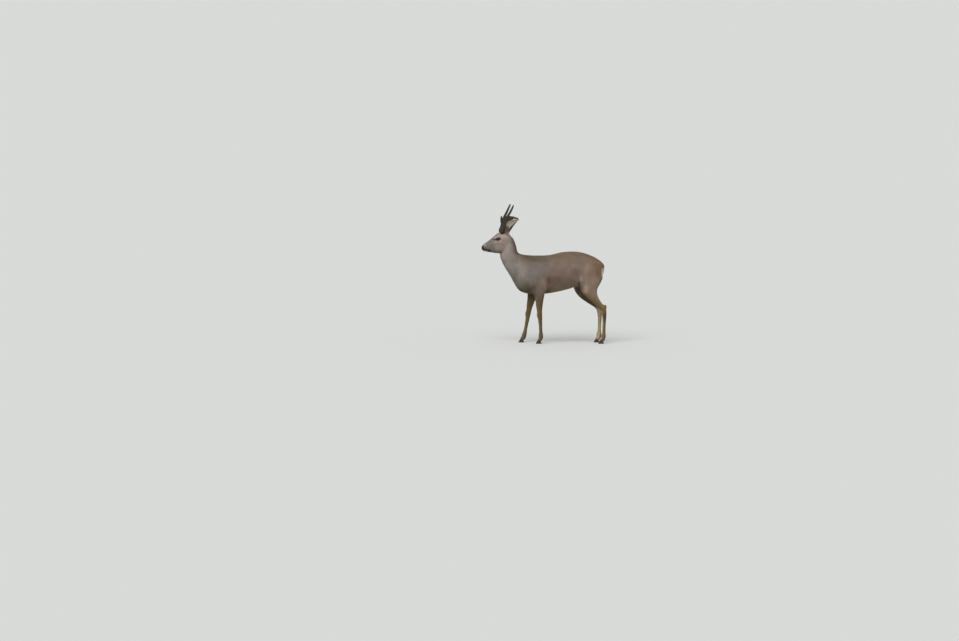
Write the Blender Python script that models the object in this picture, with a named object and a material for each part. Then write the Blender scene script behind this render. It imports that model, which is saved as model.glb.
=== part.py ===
"""A life-size roe buck in winter coat, standing still with antlers in velvet.

Metres, +Z up. The animal faces -X, so its left side is at -Y and its right side at +Y.
The flesh is swept from named stations, joined and blended as one body, and then parted
by thin cuts into head, jaw, neck, trunk, tail and the lengths of each leg. Eyes, ears, antlers,
claws and dewclaws are made beside it and trimmed to the flesh with a small gap.
"""

import math

import bmesh
import bpy
import numpy as np
from mathutils import Matrix, Vector

# The driving size. Every station below is drawn on a pattern of this withers height.
WITHERS_HEIGHT = 0.700
PATTERN_WITHERS = 0.722
SCALE = WITHERS_HEIGHT / PATTERN_WITHERS

GAP = 0.0003  # clear space between two neighbouring pieces
FORK_GAP = 0.0008  # the same at an antler's forks, where sharp corners meet
VOXEL = 0.0045  # grain of the joined body before it is thinned out
FINE_TRIANGLES = 6200  # the whole body as finely as the head is kept
PLAIN_TRIANGLES = 3080  # the whole body as finely as the rest is kept
SIDES = {"left": -1.0, "right": 1.0}  # sign of Y

# The buck looks a little to its left: head and neck turn about this upright axis.
HEAD_PIVOT = Vector((-0.285, 0.0, 0.84))
HEAD_TURN = math.radians(13.0)
NECK_TURN_STARTS, NECK_TURN_ENDS = -0.10, -0.27

# The feet are set apart: "lead" is how far forward a foot stands of the plain stance. The leg
# swings into it between two heights, so a hind leg has all of it by the hock.
FORE_LEAD = {"left": -0.026, "right": 0.115}
HIND_LEAD = {"left": -0.008, "right": 0.027}
FORE_SWING = (0.620, 0.035)
HIND_SWING = (0.560, 0.300)
# The right hind leg is the more bent one: its stifle stands further forward than the plain stance.
STIFLE_LEAD = {"left": 0.0, "right": 0.042}
STIFLE_RISE, STIFLE_FALL = (0.285, 0.400), (0.460, 0.640)

# name, top (x, z), bottom (x, z), half width, widening towards the bottom
TRUNK = [
    ("poll", (-0.240, 0.872), (-0.330, 0.760), 0.044, 0.00),
    ("nape", (-0.222, 0.835), (-0.346, 0.712), 0.049, 0.00),
    ("upper neck", (-0.206, 0.786), (-0.332, 0.668), 0.052, 0.02),
    ("mid neck", (-0.196, 0.740), (-0.303, 0.612), 0.058, 0.06),
    ("lower neck", (-0.140, 0.722), (-0.262, 0.548), 0.068, 0.10),
    ("neck base", (-0.075, 0.718), (-0.226, 0.482), 0.082, 0.10),
    ("point of chest", (-0.020, 0.718), (-0.186, 0.426), 0.094, 0.08),
    ("brisket", (0.030, 0.719), (-0.110, 0.402), 0.103, 0.06),
    ("girth", (0.085, 0.726), (0.004, 0.400), 0.112, 0.04),
    ("ribs", (0.150, 0.743), (0.115, 0.416), 0.120, 0.05),
    ("loin", (0.220, 0.750), (0.215, 0.440), 0.119, 0.06),
    ("flank", (0.290, 0.748), (0.300, 0.470), 0.108, 0.04),
    ("croup", (0.360, 0.732), (0.380, 0.500), 0.092, 0.02),
    ("rump", (0.436, 0.700), (0.452, 0.515), 0.076, 0.00),
    ("seat", (0.488, 0.662), (0.492, 0.548), 0.054, 0.00),
    ("tail root", (0.506, 0.638), (0.506, 0.572), 0.030, 0.00),
]

# name, top (x, z), bottom (x, z), half width, widening towards the bottom
HEAD = [
    ("nose front", (-0.500, 0.792), (-0.499, 0.768), 0.0140, 0.00),
    ("nose pad", (-0.491, 0.804), (-0.490, 0.757), 0.0195, -0.10),
    ("nostrils", (-0.476, 0.816), (-0.474, 0.750), 0.0235, -0.08),
    ("muzzle", (-0.452, 0.832), (-0.446, 0.746), 0.0245, -0.02),
    ("cheek front", (-0.425, 0.852), (-0.414, 0.741), 0.0290, -0.06),
    ("below the eye", (-0.400, 0.873), (-0.384, 0.736), 0.0375, -0.14),
    ("eye", (-0.377, 0.892), (-0.353, 0.733), 0.0440, -0.18),
    ("brow", (-0.350, 0.906), (-0.325, 0.738), 0.0460, -0.16),
    ("pedicles", (-0.318, 0.910), (-0.298, 0.752), 0.0450, -0.08),
    ("back of the skull", (-0.280, 0.900), (-0.276, 0.775), 0.0430, 0.00),
    ("neck socket", (-0.250, 0.876), (-0.262, 0.806), 0.0320, 0.00),
]

# name, x, distance from the middle plane, z, half length fore and aft, half width
FORELEG = [
    ("shoulder blade", 0.010, 0.046, 0.655, 0.040, 0.018),
    ("shoulder", -0.050, 0.066, 0.585, 0.078, 0.041),
    ("upper arm", -0.058, 0.074, 0.500, 0.078, 0.044),
    ("elbow", -0.036, 0.077, 0.425, 0.055, 0.037),
    ("forearm top", -0.034, 0.076, 0.372, 0.0375, 0.0285),
    ("forearm", -0.037, 0.073, 0.312, 0.0275, 0.0222),
    ("above the knee", -0.037, 0.070, 0.262, 0.0212, 0.0188),
    ("knee", -0.039, 0.068, 0.232, 0.0228, 0.0205),
    ("below the knee", -0.035, 0.066, 0.200, 0.0172, 0.0160),
    ("cannon", -0.034, 0.064, 0.135, 0.0142, 0.0132),
    ("above the fetlock", -0.034, 0.063, 0.092, 0.0150, 0.0140),
    ("fetlock", -0.035, 0.062, 0.069, 0.0190, 0.0172),
    ("pastern", -0.043, 0.062, 0.047, 0.0150, 0.0165),
    ("coronet", -0.051, 0.062, 0.030, 0.0200, 0.0190),
    ("inside the claws", -0.055, 0.062, 0.012, 0.0190, 0.0180),
]
HINDLEG = [
    ("hip", 0.395, 0.036, 0.675, 0.050, 0.022),
    ("croup muscle", 0.391, 0.049, 0.635, 0.092, 0.044),
    ("thigh", 0.387, 0.059, 0.575, 0.114, 0.053),
    ("lower thigh", 0.381, 0.066, 0.513, 0.103, 0.052),
    ("stifle", 0.381, 0.070, 0.455, 0.079, 0.045),
    ("gaskin top", 0.396, 0.071, 0.407, 0.053, 0.036),
    ("gaskin", 0.425, 0.070, 0.360, 0.0340, 0.0275),
    ("gaskin foot", 0.458, 0.068, 0.319, 0.0250, 0.0215),
    ("hock", 0.486, 0.067, 0.289, 0.0235, 0.0200),
    ("below the hock", 0.496, 0.066, 0.255, 0.0215, 0.0180),
    ("upper cannon", 0.498, 0.065, 0.205, 0.0160, 0.0148),
    ("cannon", 0.496, 0.064, 0.135, 0.0138, 0.0130),
    ("above the fetlock", 0.494, 0.063, 0.092, 0.0147, 0.0138),
    ("fetlock", 0.492, 0.062, 0.069, 0.0195, 0.0175),
    ("pastern", 0.483, 0.062, 0.047, 0.0152, 0.0165),
    ("coronet", 0.475, 0.062, 0.030, 0.0205, 0.0190),
    ("inside the claws", 0.471, 0.062, 0.012, 0.0190, 0.0180),
]

# Muscles and bony points that stand out of the sweeps: centre and half sizes.
ORBIT = ((-0.364, 0.032, 0.856), (0.026, 0.0165, 0.020))
CHEEK = ((-0.342, 0.021, 0.782), (0.044, 0.0190, 0.038))
HEEL_BONE = ((0.508, 0.067, 0.302), (0.0120, 0.0105, 0.0220))
HAM = ((0.441, 0.050, 0.575), (0.055, 0.040, 0.080))
TAIL = ((0.497, 0.0, 0.618), (0.017, 0.0170, 0.034))

EYE_CENTRE = (-0.371, 0.0336, 0.8530)
EYE_RADIUS = 0.0147
CLAW_LENGTH, CLAW_HEIGHT, CLAW_WIDTH = 0.046, 0.026, 0.0165
CLAW_HEEL = 0.0190  # how far behind the coronet's middle a claw's heel lies
CLAW_TAPER = 0.42  # how much narrower the claw gets towards its toe
CLAW_SIDES, DEWCLAW_SIDES = 12, 8
CLEFT = 0.0022  # half the space between the two claws of a foot
CORONET_HEIGHT, CORONET_SLOPE = 0.0235, (-0.30, 0.0, 0.95)
DEWCLAW_PLACE = (0.034, 0.0105)  # behind and beside the coronet's middle
DEWCLAW_RADII = (0.0075, 0.0062)
DEWCLAW_LEVELS = ((0.0405, 0.55), (0.0470, 0.95), (0.0560, 1.00), (0.0630, 0.55))

EAR_ROOT = Vector((-0.291, 0.031, 0.884))
EAR_TIP = Vector((-0.211, 0.094, 1.014))
EAR_HALF_WIDTH = 0.0270
EAR_ROLL = (118.0, 40.0)  # degrees either way from its middle: a funnel at the root, open at the tip
EAR_WALL = 0.0040
EAR_ARCH = 0.0330  # how far the middle of the leaf stands ahead of its root and tip
EAR_OPENING = Vector((-0.17, 0.97, 0.10))  # where the cup looks: out to the side, a little forward

# Antler, in velvet: x, distance from the middle plane, z, radius
BEAM = [
    (-0.336, 0.0150, 0.868, 0.0120),
    (-0.333, 0.0225, 0.905, 0.0160),
    (-0.330, 0.0260, 0.922, 0.0198),
    (-0.324, 0.0300, 0.942, 0.0160),
    (-0.316, 0.0360, 0.975, 0.0138),
    (-0.306, 0.0430, 1.008, 0.0128),
    (-0.293, 0.0485, 1.036, 0.0114),
]
TOP_TINE = [
    (-0.2955, 0.0475, 1.031, 0.0110),
    (-0.281, 0.0515, 1.057, 0.0100),
    (-0.266, 0.0550, 1.085, 0.0089),
    (-0.254, 0.0570, 1.110, 0.0078),
    (-0.247, 0.0575, 1.127, 0.0062),
]
FRONT_TINE = [
    (-0.3170, 0.0345, 0.966, 0.0105),
    (-0.3235, 0.0370, 0.988, 0.0097),
    (-0.3250, 0.0395, 1.010, 0.0087),
    (-0.3230, 0.0415, 1.031, 0.0068),
]
REAR_TINE = [
    (-0.303, 0.0455, 1.004, 0.0108),
    (-0.278, 0.0480, 1.018, 0.0102),
    (-0.246, 0.0490, 1.026, 0.0090),
    (-0.209, 0.0485, 1.021, 0.0066),
]

# colour, roughness, metallic
FINISHES = {
    "coat": ((0.165, 0.125, 0.100), 0.85, 0.0),
    "nose_leather": ((0.015, 0.014, 0.013), 0.35, 0.0),
    "eye_gloss": ((0.012, 0.008, 0.006), 0.06, 0.0),
    "velvet": ((0.060, 0.045, 0.030), 0.90, 0.0),
    "horn": ((0.030, 0.026, 0.022), 0.45, 0.0),
}


# ---------------------------------------------------------------- small tools


def clear_scene():
    for old in list(bpy.data.objects):
        bpy.data.objects.remove(old, do_unlink=True)


def ease(value, start, end):
    """0 at start, 1 at end, with a smooth turn in between."""
    t = min(1.0, max(0.0, (value - start) / (end - start)))
    return t * t * (3.0 - 2.0 * t)


def turned(point, share=1.0):
    """The point after the head's turn, or after a share of it."""
    spin = Matrix.Rotation(HEAD_TURN * share, 4, "Z")
    return HEAD_PIVOT + spin @ (Vector(point) - HEAD_PIVOT)


def smooth_rows(rows, steps):
    """Rows of numbers with steps - 1 more between each two, on a Catmull-Rom curve."""
    rows = np.array(rows, float)
    ends = [2 * rows[0] - rows[1], *rows, 2 * rows[-1] - rows[-2]]
    made = []
    for a, b, c, d in zip(ends, ends[1:], ends[2:], ends[3:]):
        for t in np.arange(steps) / steps:
            made.append(
                b
                + 0.5 * t * (c - a)
                + t * t * (a - 2.5 * b + 2 * c - 0.5 * d)
                + t**3 * (1.5 * (b - c) + 0.5 * (d - a))
            )
    made.append(rows[-1])
    return np.array(made)


def new_object(name, mesh, finish="coat"):
    thing = bpy.data.objects.new(name, mesh)
    bpy.context.scene.collection.objects.link(thing)
    mesh.materials.clear()
    mesh.materials.append(bpy.data.materials[finish])
    return thing


def mesh_from(bm, name):
    bmesh.ops.recalc_face_normals(bm, faces=bm.faces)
    mesh = bpy.data.meshes.new(name)
    bm.to_mesh(mesh)
    bm.free()
    return mesh


def skin_rings(name, rings, finish="coat", flat_ends=False):
    """A closed solid through the rings, each a list of points, with its two ends closed."""
    bm = bmesh.new()
    loops = [[bm.verts.new(point) for point in ring] for ring in rings]
    count = len(loops[0])
    for one, two in zip(loops, loops[1:]):
        for i in range(count):
            j = (i + 1) % count
            bm.faces.new((one[i], one[j], two[j], two[i]))
    for loop in (loops[0], loops[-1]):
        if flat_ends:
            bm.faces.new(loop)
            continue
        middle = bm.verts.new(sum((v.co for v in loop), Vector()) / count)
        for i in range(count):
            bm.faces.new((loop[i], loop[(i + 1) % count], middle))
    return new_object(name, mesh_from(bm, name), finish)


def applied(thing):
    """Turns what the modifiers show into the object's own mesh."""
    bpy.context.view_layer.update()
    graph = bpy.context.evaluated_depsgraph_get()
    mesh = bpy.data.meshes.new_from_object(thing.evaluated_get(graph))
    thing.modifiers.clear()
    thing.data = mesh
    return thing


def boolean(thing, other, operation):
    modifier = thing.modifiers.new(operation.title(), "BOOLEAN")
    modifier.operation = operation
    modifier.solver = "EXACT"
    modifier.object = other
    return applied(thing)


def copy_of(thing, name):
    twin = thing.copy()
    twin.data = thing.data.copy()
    twin.name = name
    bpy.context.scene.collection.objects.link(twin)
    return twin


def remove(*things):
    for thing in things:
        bpy.data.objects.remove(thing, do_unlink=True)


def grown(thing, distance):
    """A copy whose surface stands out by the distance, to trim a neighbour with."""
    twin = copy_of(thing, thing.name + "_grown")
    swell = twin.modifiers.new("Swell", "DISPLACE")
    swell.strength = distance
    swell.mid_level = 0.0
    return applied(twin)


# ---------------------------------------------------------------- the flesh


def profile_ring(top, bottom, half_width, widening, share, count):
    """A rounded ring between a top and a bottom point of the side outline."""
    high, low = Vector((top[0], 0.0, top[1])), Vector((bottom[0], 0.0, bottom[1]))
    middle, reach = (high + low) / 2, (high - low) / 2
    ring = []
    for i in range(count):
        turn = 2 * math.pi * i / count
        up, out = math.cos(turn), math.sin(turn)
        side = half_width * math.copysign(abs(out) ** 0.90, out) * (1 - widening * up)
        ring.append(turned(middle + reach * up + Vector((0.0, side, 0.0)), share))
    return ring


def profile_solid(name, stations, steps, count, share_at):
    rows = [(*top, *bottom, width, widening) for _, top, bottom, width, widening in stations]
    rings = []
    for x1, z1, x2, z2, width, widening in smooth_rows(rows, steps):
        share = share_at((x1 + x2) / 2)
        rings.append(profile_ring((x1, z1), (x2, z2), width, widening, share, count))
    return skin_rings(name, rings)


def tube(name, points, finish="coat", count=16, steps=1):
    """A round or oval tube: points hold x, y, z, half length in the plane of the path, half width."""
    rows = smooth_rows(points, steps)
    centres = [Vector(row[:3]) for row in rows]
    rings = []
    for i, (centre, row) in enumerate(zip(centres, rows)):
        along = centres[min(i + 1, len(rows) - 1)] - centres[max(i - 1, 0)]
        along.normalize()
        side = Vector((0.0, 1.0, 0.0))
        side = (side - along * side.dot(along)).normalized()
        front = side.cross(along)
        rings.append(
            [
                centre
                + front * row[3] * math.cos(2 * math.pi * k / count)
                + side * row[4] * math.sin(2 * math.pi * k / count)
                for k in range(count)
            ]
        )
    return skin_rings(name, rings, finish)


def leg(kind, stations, side, lead, swing, bend=0.0):
    """One leg as a swept tube, swung forward so that its foot stands ahead by the lead.

    The bend puts its stifle further forward, and leaves hip and hock where they are.
    """
    top, full = swing
    points = []
    for _, x, y, z, length, width in stations:
        forward = lead * min(1.0, max(0.0, (top - z) / (top - full)))
        forward += bend * ease(z, *STIFLE_RISE) * (1.0 - ease(z, *STIFLE_FALL))
        points.append((x - forward, SIDES[side] * y, z, length, width))
    return tube(f"{kind}_{side}", points, steps=3, count=20)


def egg(name, centre, half_sizes, sign=1.0, share=0.0):
    """A ball pulled to the half sizes, mirrored to a side and turned with the head by the share."""
    bm = bmesh.new()
    bmesh.ops.create_icosphere(bm, subdivisions=3, radius=1.0)
    for vert in bm.verts:
        local = Vector(vert.co[i] * half_sizes[i] for i in range(3))
        place = local + Vector((centre[0], centre[1], centre[2]))
        vert.co = turned((place.x, place.y * sign, place.z), share)
    return new_object(name, mesh_from(bm, name))


def smoothing_weight(point):
    """How strongly the joined body is smoothed: broad muscles most, face and legs least."""
    on_trunk = ease(point.z, 0.34, 0.46)
    on_head = ease(-point.x, 0.26, 0.32) * ease(point.z, 0.66, 0.74)
    return max(0.10, on_trunk * (1.0 - 0.72 * on_head))


def joined_body():
    """All the flesh in one closed mesh, blended where the sweeps meet."""
    neck_share = lambda x: ease(-x, -NECK_TURN_STARTS, -NECK_TURN_ENDS)
    lumps = [
        profile_solid("trunk_sweep", TRUNK, 3, 28, neck_share),
        profile_solid("head_sweep", HEAD, 3, 24, lambda x: 1.0),
    ]
    for side, sign in SIDES.items():
        lumps.append(leg("foreleg", FORELEG, side, FORE_LEAD[side], FORE_SWING))
        lumps.append(leg("hindleg", HINDLEG, side, HIND_LEAD[side], HIND_SWING, STIFLE_LEAD[side]))
        lumps.append(egg("orbit", *ORBIT, sign, 1.0))
        lumps.append(egg("cheek", *CHEEK, sign, 1.0))
        heel, sizes = HEEL_BONE
        lumps.append(egg("heel_bone", (heel[0] - HIND_LEAD[side], *heel[1:]), sizes, sign))
        lumps.append(egg("ham", *HAM, sign))
    lumps.append(egg("tail_lump", *TAIL))
    bm = bmesh.new()
    for lump in lumps:
        bm.from_mesh(lump.data)
    body = new_object("body", mesh_from(bm, "body"))
    remove(*lumps)

    remesh = body.modifiers.new("Remesh", "REMESH")
    remesh.mode = "VOXEL"
    remesh.voxel_size = VOXEL
    applied(body)

    weights = body.vertex_groups.new(name="soft")
    for vert in body.data.vertices:
        weights.add([vert.index], smoothing_weight(vert.co), "REPLACE")
    smooth = body.modifiers.new("Smooth", "SMOOTH")
    smooth.factor = 0.5
    smooth.iterations = 26
    smooth.vertex_group = "soft"
    return applied(body)


def thinned(body, name, triangles):
    """A copy of the body with about so many triangles, the fewest where it is smooth."""
    twin = copy_of(body, name)
    thin = twin.modifiers.new("Thin out", "DECIMATE")
    thin.ratio = triangles / (2 * len(twin.data.polygons))
    return applied(twin)


# ---------------------------------------------------------------- parting the flesh


def region(name, planes, spare=0.0):
    """A closed block on the inner side of every plane (a point and an outward normal), grown by spare."""
    bm = bmesh.new()
    bmesh.ops.create_cube(bm, size=4.0)
    for point, normal in planes:
        normal = Vector(normal).normalized()
        cut = bmesh.ops.bisect_plane(
            bm,
            geom=bm.verts[:] + bm.edges[:] + bm.faces[:],
            plane_co=Vector(point) + normal * spare,
            plane_no=normal,
            clear_outer=True,
        )
        rim = [e for e in cut["geom_cut"] if isinstance(e, bmesh.types.BMEdge)]
        bmesh.ops.edgeloop_fill(bm, edges=rim)
    return new_object(name, mesh_from(bm, name))


def take(rest, name, planes, finish="coat", source=None):
    """Parts the named piece off the rest by a thin cut: returns the piece, and cuts the rest back.

    The piece can come from a finer source of the same shape instead of from the rest.
    """
    piece = copy_of(source or rest, name)
    inside, around = region("inside", planes), region("around", planes, GAP)
    boolean(piece, inside, "INTERSECT")
    boolean(rest, around, "DIFFERENCE")
    remove(inside, around)
    piece.data.materials.clear()
    piece.data.materials.append(bpy.data.materials[finish])
    return piece


def head_plane(point, normal, side=0.0):
    """A cutting plane of the head, given before the head's turn."""
    place = turned((point[0], side, point[1]))
    facing = turned((point[0] + normal[0], side, point[1] + normal[1])) - place
    return place, facing


def part_flesh(joined):
    """Cuts the joined body into its named pieces. What is left is the trunk."""
    pieces = {}
    fine, body = thinned(joined, "fine", FINE_TRIANGLES), thinned(joined, "trunk", PLAIN_TRIANGLES)
    # The poll lies behind the jaw's angle, and the neck meets the trunk along the shoulder.
    behind_jaw = head_plane((-0.300, 0.800), (0.889, -0.458))
    pieces["head"] = take(body, "head", [behind_jaw], source=fine)
    pieces["nose"] = take(
        pieces["head"], "nose", [head_plane((-0.4875, 0.783), (0.985, -0.17))], "nose_leather"
    )
    pieces["jaw"] = take(
        pieces["head"],
        "jaw",
        [head_plane((-0.480, 0.7665), (-0.10, 1.0)), head_plane((-0.425, 0.750), (0.90, 0.43))],
    )
    pieces["neck"] = take(body, "neck", [((-0.135, 0.0, 0.610), (0.845, 0.0, -0.534))])
    tail_x, _, tail_z = TAIL[0]
    _, tail_width, tail_height = TAIL[1]
    tail_box = [((tail_x, 0.0, tail_z), (-1.0, 0.0, 0.12))]
    tail_box += [((0.0, 0.0, tail_z + up * tail_height), (0.0, 0.0, up)) for up in (-1.0, 1.0)]
    tail_box += [((0.0, out * tail_width, 0.0), (0.0, out, 0.0)) for out in (-1.0, 1.0)]
    pieces["tail"] = take(body, "tail", tail_box)
    for side, sign in SIDES.items():
        own_side = ((0.0, sign * 0.0005, 0.0), (0.0, -sign, 0.0))
        fore_x = -FORE_LEAD[side] * 0.25
        fore = [
            own_side,
            ((0.0, sign * 0.030, 0.400), (0.0, -sign * 0.72, 0.69)),
            ((fore_x + 0.034, 0.0, 0.45), (1.0, 0.0, 0.12)),
        ]
        knee = ((0.0, 0.0, 0.232), (0.0, 0.0, 1.0))
        upper = take(body, f"foreleg_{side}_upper", fore)
        pieces[f"foreleg_{side}_lower"] = take(upper, f"foreleg_{side}_lower", [knee])
        pieces[f"foreleg_{side}_upper"] = upper

        hind = [
            own_side,
            ((0.0, sign * 0.008, 0.480), (0.0, -sign * 0.66, 0.75)),
            ((0.262 - STIFLE_LEAD[side], 0.0, 0.470), (-0.97, 0.0, -0.22)),
        ]
        thigh = take(body, f"hindleg_{side}_thigh", hind)
        stifle = ((0.384 - HIND_LEAD[side], 0.0, 0.416), (-0.35, 0.0, 0.94))
        hock = ((0.484 - HIND_LEAD[side], 0.0, 0.276), (0.12, 0.0, 0.99))
        shank = take(thigh, f"hindleg_{side}_shank", [stifle])
        pieces[f"hindleg_{side}_lower"] = take(shank, f"hindleg_{side}_lower", [hock])
        pieces[f"hindleg_{side}_shank"] = shank
        pieces[f"hindleg_{side}_thigh"] = thigh
    pieces["trunk"] = body
    remove(joined, fine)
    return pieces


# ---------------------------------------------------------------- feet


def foot_centre(stations, side, lead):
    """Where the middle of a foot's coronet is, as the leg's own sweep has it."""
    _, x, y, _, _, _ = stations[-2]
    return Vector((x - lead, SIDES[side] * y, 0.0))


def claw(name, centre, outward):
    """One claw: a tapered wedge with a flat sole, a sloping front wall and a rounded outer wall."""
    levels = [(0.0, 1.00, 1.00), (0.55, 0.88, 0.99), (1.30, 0.62, 0.90)]
    rings = []
    for height, length_share, width_share in levels:
        length, width = CLAW_LENGTH * length_share, CLAW_WIDTH * width_share
        heel = centre.x + CLAW_HEEL - 0.004 * height
        ring = []
        for k in range(CLAW_SIDES):
            turn = 2 * math.pi * k / CLAW_SIDES
            fore, out = math.cos(turn), math.sin(turn)
            pinch = 1.0 - CLAW_TAPER * max(0.0, fore) ** 2
            x = heel - length * (0.5 + 0.5 * fore)
            y = width * (0.5 + 0.5 * out * pinch) - 0.18 * width * max(0.0, fore) ** 2
            y = max(y, 0.0)
            ring.append(Vector((x, centre.y + outward * (CLEFT + y), CLAW_HEIGHT * height)))
        rings.append(ring)
    return skin_rings(name, rings, "horn", flat_ends=True)


def dewclaw(name, centre, outward):
    """One small claw behind the pastern, rounded above and blunt below."""
    x, y = centre.x + DEWCLAW_PLACE[0], centre.y + outward * DEWCLAW_PLACE[1]
    length, width = DEWCLAW_RADII
    rings = []
    for height, share in DEWCLAW_LEVELS:
        ring = []
        for k in range(DEWCLAW_SIDES):
            turn = 2 * math.pi * k / DEWCLAW_SIDES
            fore, out = share * math.cos(turn), share * math.sin(turn)
            ring.append(Vector((x + length * fore, y + width * out, height)))
        rings.append(ring)
    return skin_rings(name, rings, "horn", flat_ends=True)


def feet(pieces):
    """Claws under every leg, cut off at the coronet, and dewclaws behind it."""
    made = {}
    for kind, stations, leads in (
        ("foreleg", FORELEG, FORE_LEAD),
        ("hindleg", HINDLEG, HIND_LEAD),
    ):
        for side in SIDES:
            lower = pieces[f"{kind}_{side}_lower"]
            centre = foot_centre(stations, side, leads[side])
            coronet = (centre + Vector((0.0, 0.0, CORONET_HEIGHT)), CORONET_SLOPE)
            under = region("under", [coronet], GAP)
            boolean(lower, under, "DIFFERENCE")
            remove(under)
            ground = region("ground", [coronet])
            for place, outward in (("inner", -SIDES[side]), ("outer", SIDES[side])):
                name = f"{kind}_{side}_claw_{place}"
                made[name] = boolean(claw(name, centre, outward), ground, "INTERSECT")
            remove(ground)
            trim = grown(lower, GAP)
            for place, outward in (("inner", -SIDES[side]), ("outer", SIDES[side])):
                name = f"{kind}_{side}_dewclaw_{place}"
                made[name] = boolean(dewclaw(name, centre, outward), trim, "DIFFERENCE")
            remove(trim)
    return made


# ---------------------------------------------------------------- head pieces


def eye(name, sign, head):
    """A ball in a socket that is cut into the head a gap wider than the ball."""
    x, y, z = EYE_CENTRE
    centre = turned((x, y * sign, z))
    for label, radius in (("socket", EYE_RADIUS + GAP), (name, EYE_RADIUS)):
        bm = bmesh.new()
        bmesh.ops.create_icosphere(bm, subdivisions=2, radius=radius)
        bmesh.ops.translate(bm, verts=bm.verts, vec=centre)
        ball = new_object(label, mesh_from(bm, label), "eye_gloss")
        if label == "socket":
            boolean(head, ball, "DIFFERENCE")
            remove(ball)
    return ball


def ear(name, sign, head):
    """A cupped leaf: rolled to a funnel at the root, widest below the middle, pointed at the tip."""
    root, tip = EAR_ROOT.copy(), EAR_TIP.copy()
    along = (tip - root).normalized()
    opening = (EAR_OPENING - along * EAR_OPENING.dot(along)).normalized()
    across = along.cross(opening)
    length = (tip - root).length
    rows, columns = 12, 9
    bm = bmesh.new()
    grid = []
    for i in range(rows):
        t = i / (rows - 1)
        blade = max(0.0, math.sin(math.pi * t**1.15)) ** 1.1
        width = EAR_HALF_WIDTH * max(0.08, 0.36 * (1.0 - t) + 0.86 * blade)
        roll = math.radians(EAR_ROLL[0] + (EAR_ROLL[1] - EAR_ROLL[0]) * ease(t, 0.0, 0.75))
        radius = width / math.sin(min(roll, math.pi / 2))
        arch = math.sin(math.pi * t)
        line = []
        for j in range(columns):
            angle = roll * (2.0 * j / (columns - 1) - 1.0)
            place = (
                root
                + along * length * t
                + across * (radius * math.sin(angle) + EAR_ARCH * arch)
                + opening * (radius * (1.0 - math.cos(angle)) - 0.6 * width)
            )
            line.append(bm.verts.new(turned((place.x, place.y * sign, place.z))))
        grid.append(line)
    for one, two in zip(grid, grid[1:]):
        for j in range(columns - 1):
            bm.faces.new((one[j], one[j + 1], two[j + 1], two[j]))
    leaf = new_object(name, mesh_from(bm, name))
    wall = leaf.modifiers.new("Wall", "SOLIDIFY")
    wall.thickness = EAR_WALL
    wall.offset = 0.0
    wall.use_even_offset = False
    applied(leaf)
    trim = grown(head, GAP)
    boolean(leaf, trim, "DIFFERENCE")
    remove(trim)
    return leaf


def tine(name, points, sign):
    """A round, tapered tine with a blunt, rounded end."""
    rows = smooth_rows(points, 2)
    rows = [(turned((x, y * sign, z)), radius) for x, y, z, radius in rows]
    (before, _), (end, radius) = rows[-2:]
    rows.append((end + (end - before).normalized() * radius * 0.8, radius * 0.5))
    return tube(name, [(*place, size, size) for place, size in rows], "velvet", count=8)


def antler(side, sign, head):
    """Beam, front tine, rear tine and top tine, each trimmed to what it grows from."""
    skull = grown(head, GAP)
    beam = boolean(tine(f"antler_{side}_beam", BEAM, sign), skull, "DIFFERENCE")
    remove(skull)
    made = [beam]
    for kind, points in (("rear", REAR_TINE), ("front", FRONT_TINE), ("top", TOP_TINE)):
        branch = tine(f"antler_{side}_{kind}_tine", points, sign)
        for older in made:
            trim = grown(older, FORK_GAP)
            boolean(branch, trim, "DIFFERENCE")
            remove(trim)
        made.append(branch)
    return made


def keep_largest(thing):
    """Drops loose crumbs that a trim leaves on the far side of the trimming surface."""
    bm = bmesh.new()
    bm.from_mesh(thing.data)
    left, islands = set(bm.verts), []
    while left:
        island, edge = set(), [left.pop()]
        while edge:
            vert = edge.pop()
            island.add(vert)
            for link in vert.link_edges:
                other = link.other_vert(vert)
                if other in left:
                    left.discard(other)
                    edge.append(other)
        islands.append(island)
    islands.sort(key=len)
    for island in islands[:-1]:
        bmesh.ops.delete(bm, geom=list(island), context="VERTS")
    bm.to_mesh(thing.data)
    bm.free()
    return len(islands) - 1


# ---------------------------------------------------------------- the whole buck


def add_finishes():
    for name, (colour, roughness, metallic) in FINISHES.items():
        material = bpy.data.materials.new(name)
        material.use_nodes = True
        shader = material.node_tree.nodes["Principled BSDF"]
        shader.inputs["Base Color"].default_value = (*colour, 1.0)
        shader.inputs["Roughness"].default_value = roughness
        shader.inputs["Metallic"].default_value = metallic
        material.diffuse_color = (*colour, 1.0)


def stand_on_origin(things):
    """Scales the pattern to life size, with the middle of the footprint box at the origin."""
    corners = [thing.matrix_world @ v.co for thing in things for v in thing.data.vertices]
    low = [min(c[i] for c in corners) for i in range(3)]
    high = [max(c[i] for c in corners) for i in range(3)]
    middle = Vector(((low[0] + high[0]) / 2, (low[1] + high[1]) / 2, low[2]))
    place = Matrix.Scale(SCALE, 4) @ Matrix.Translation(-middle)
    for thing in things:
        thing.data.transform(place)


def main():
    clear_scene()
    add_finishes()
    pieces = part_flesh(joined_body())
    things = list(pieces.values())
    things += feet(pieces).values()
    for side, sign in SIDES.items():
        things.append(ear(f"ear_{side}", sign, pieces["head"]))
        things += antler(side, sign, pieces["head"])
    for side, sign in SIDES.items():
        things.append(eye(f"eye_{side}", sign, pieces["head"]))
    for thing in things:
        crumbs = keep_largest(thing)
        if crumbs:
            print(thing.name, "lost", crumbs, "crumbs")
    stand_on_origin(things)

    stance = bpy.data.objects.new("roe_buck", None)
    bpy.context.scene.collection.objects.link(stance)
    for thing in things:
        thing.parent = stance
        thing.data.shade_smooth()
        thing.data.set_sharp_from_angle(angle=math.radians(38.0))


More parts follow.
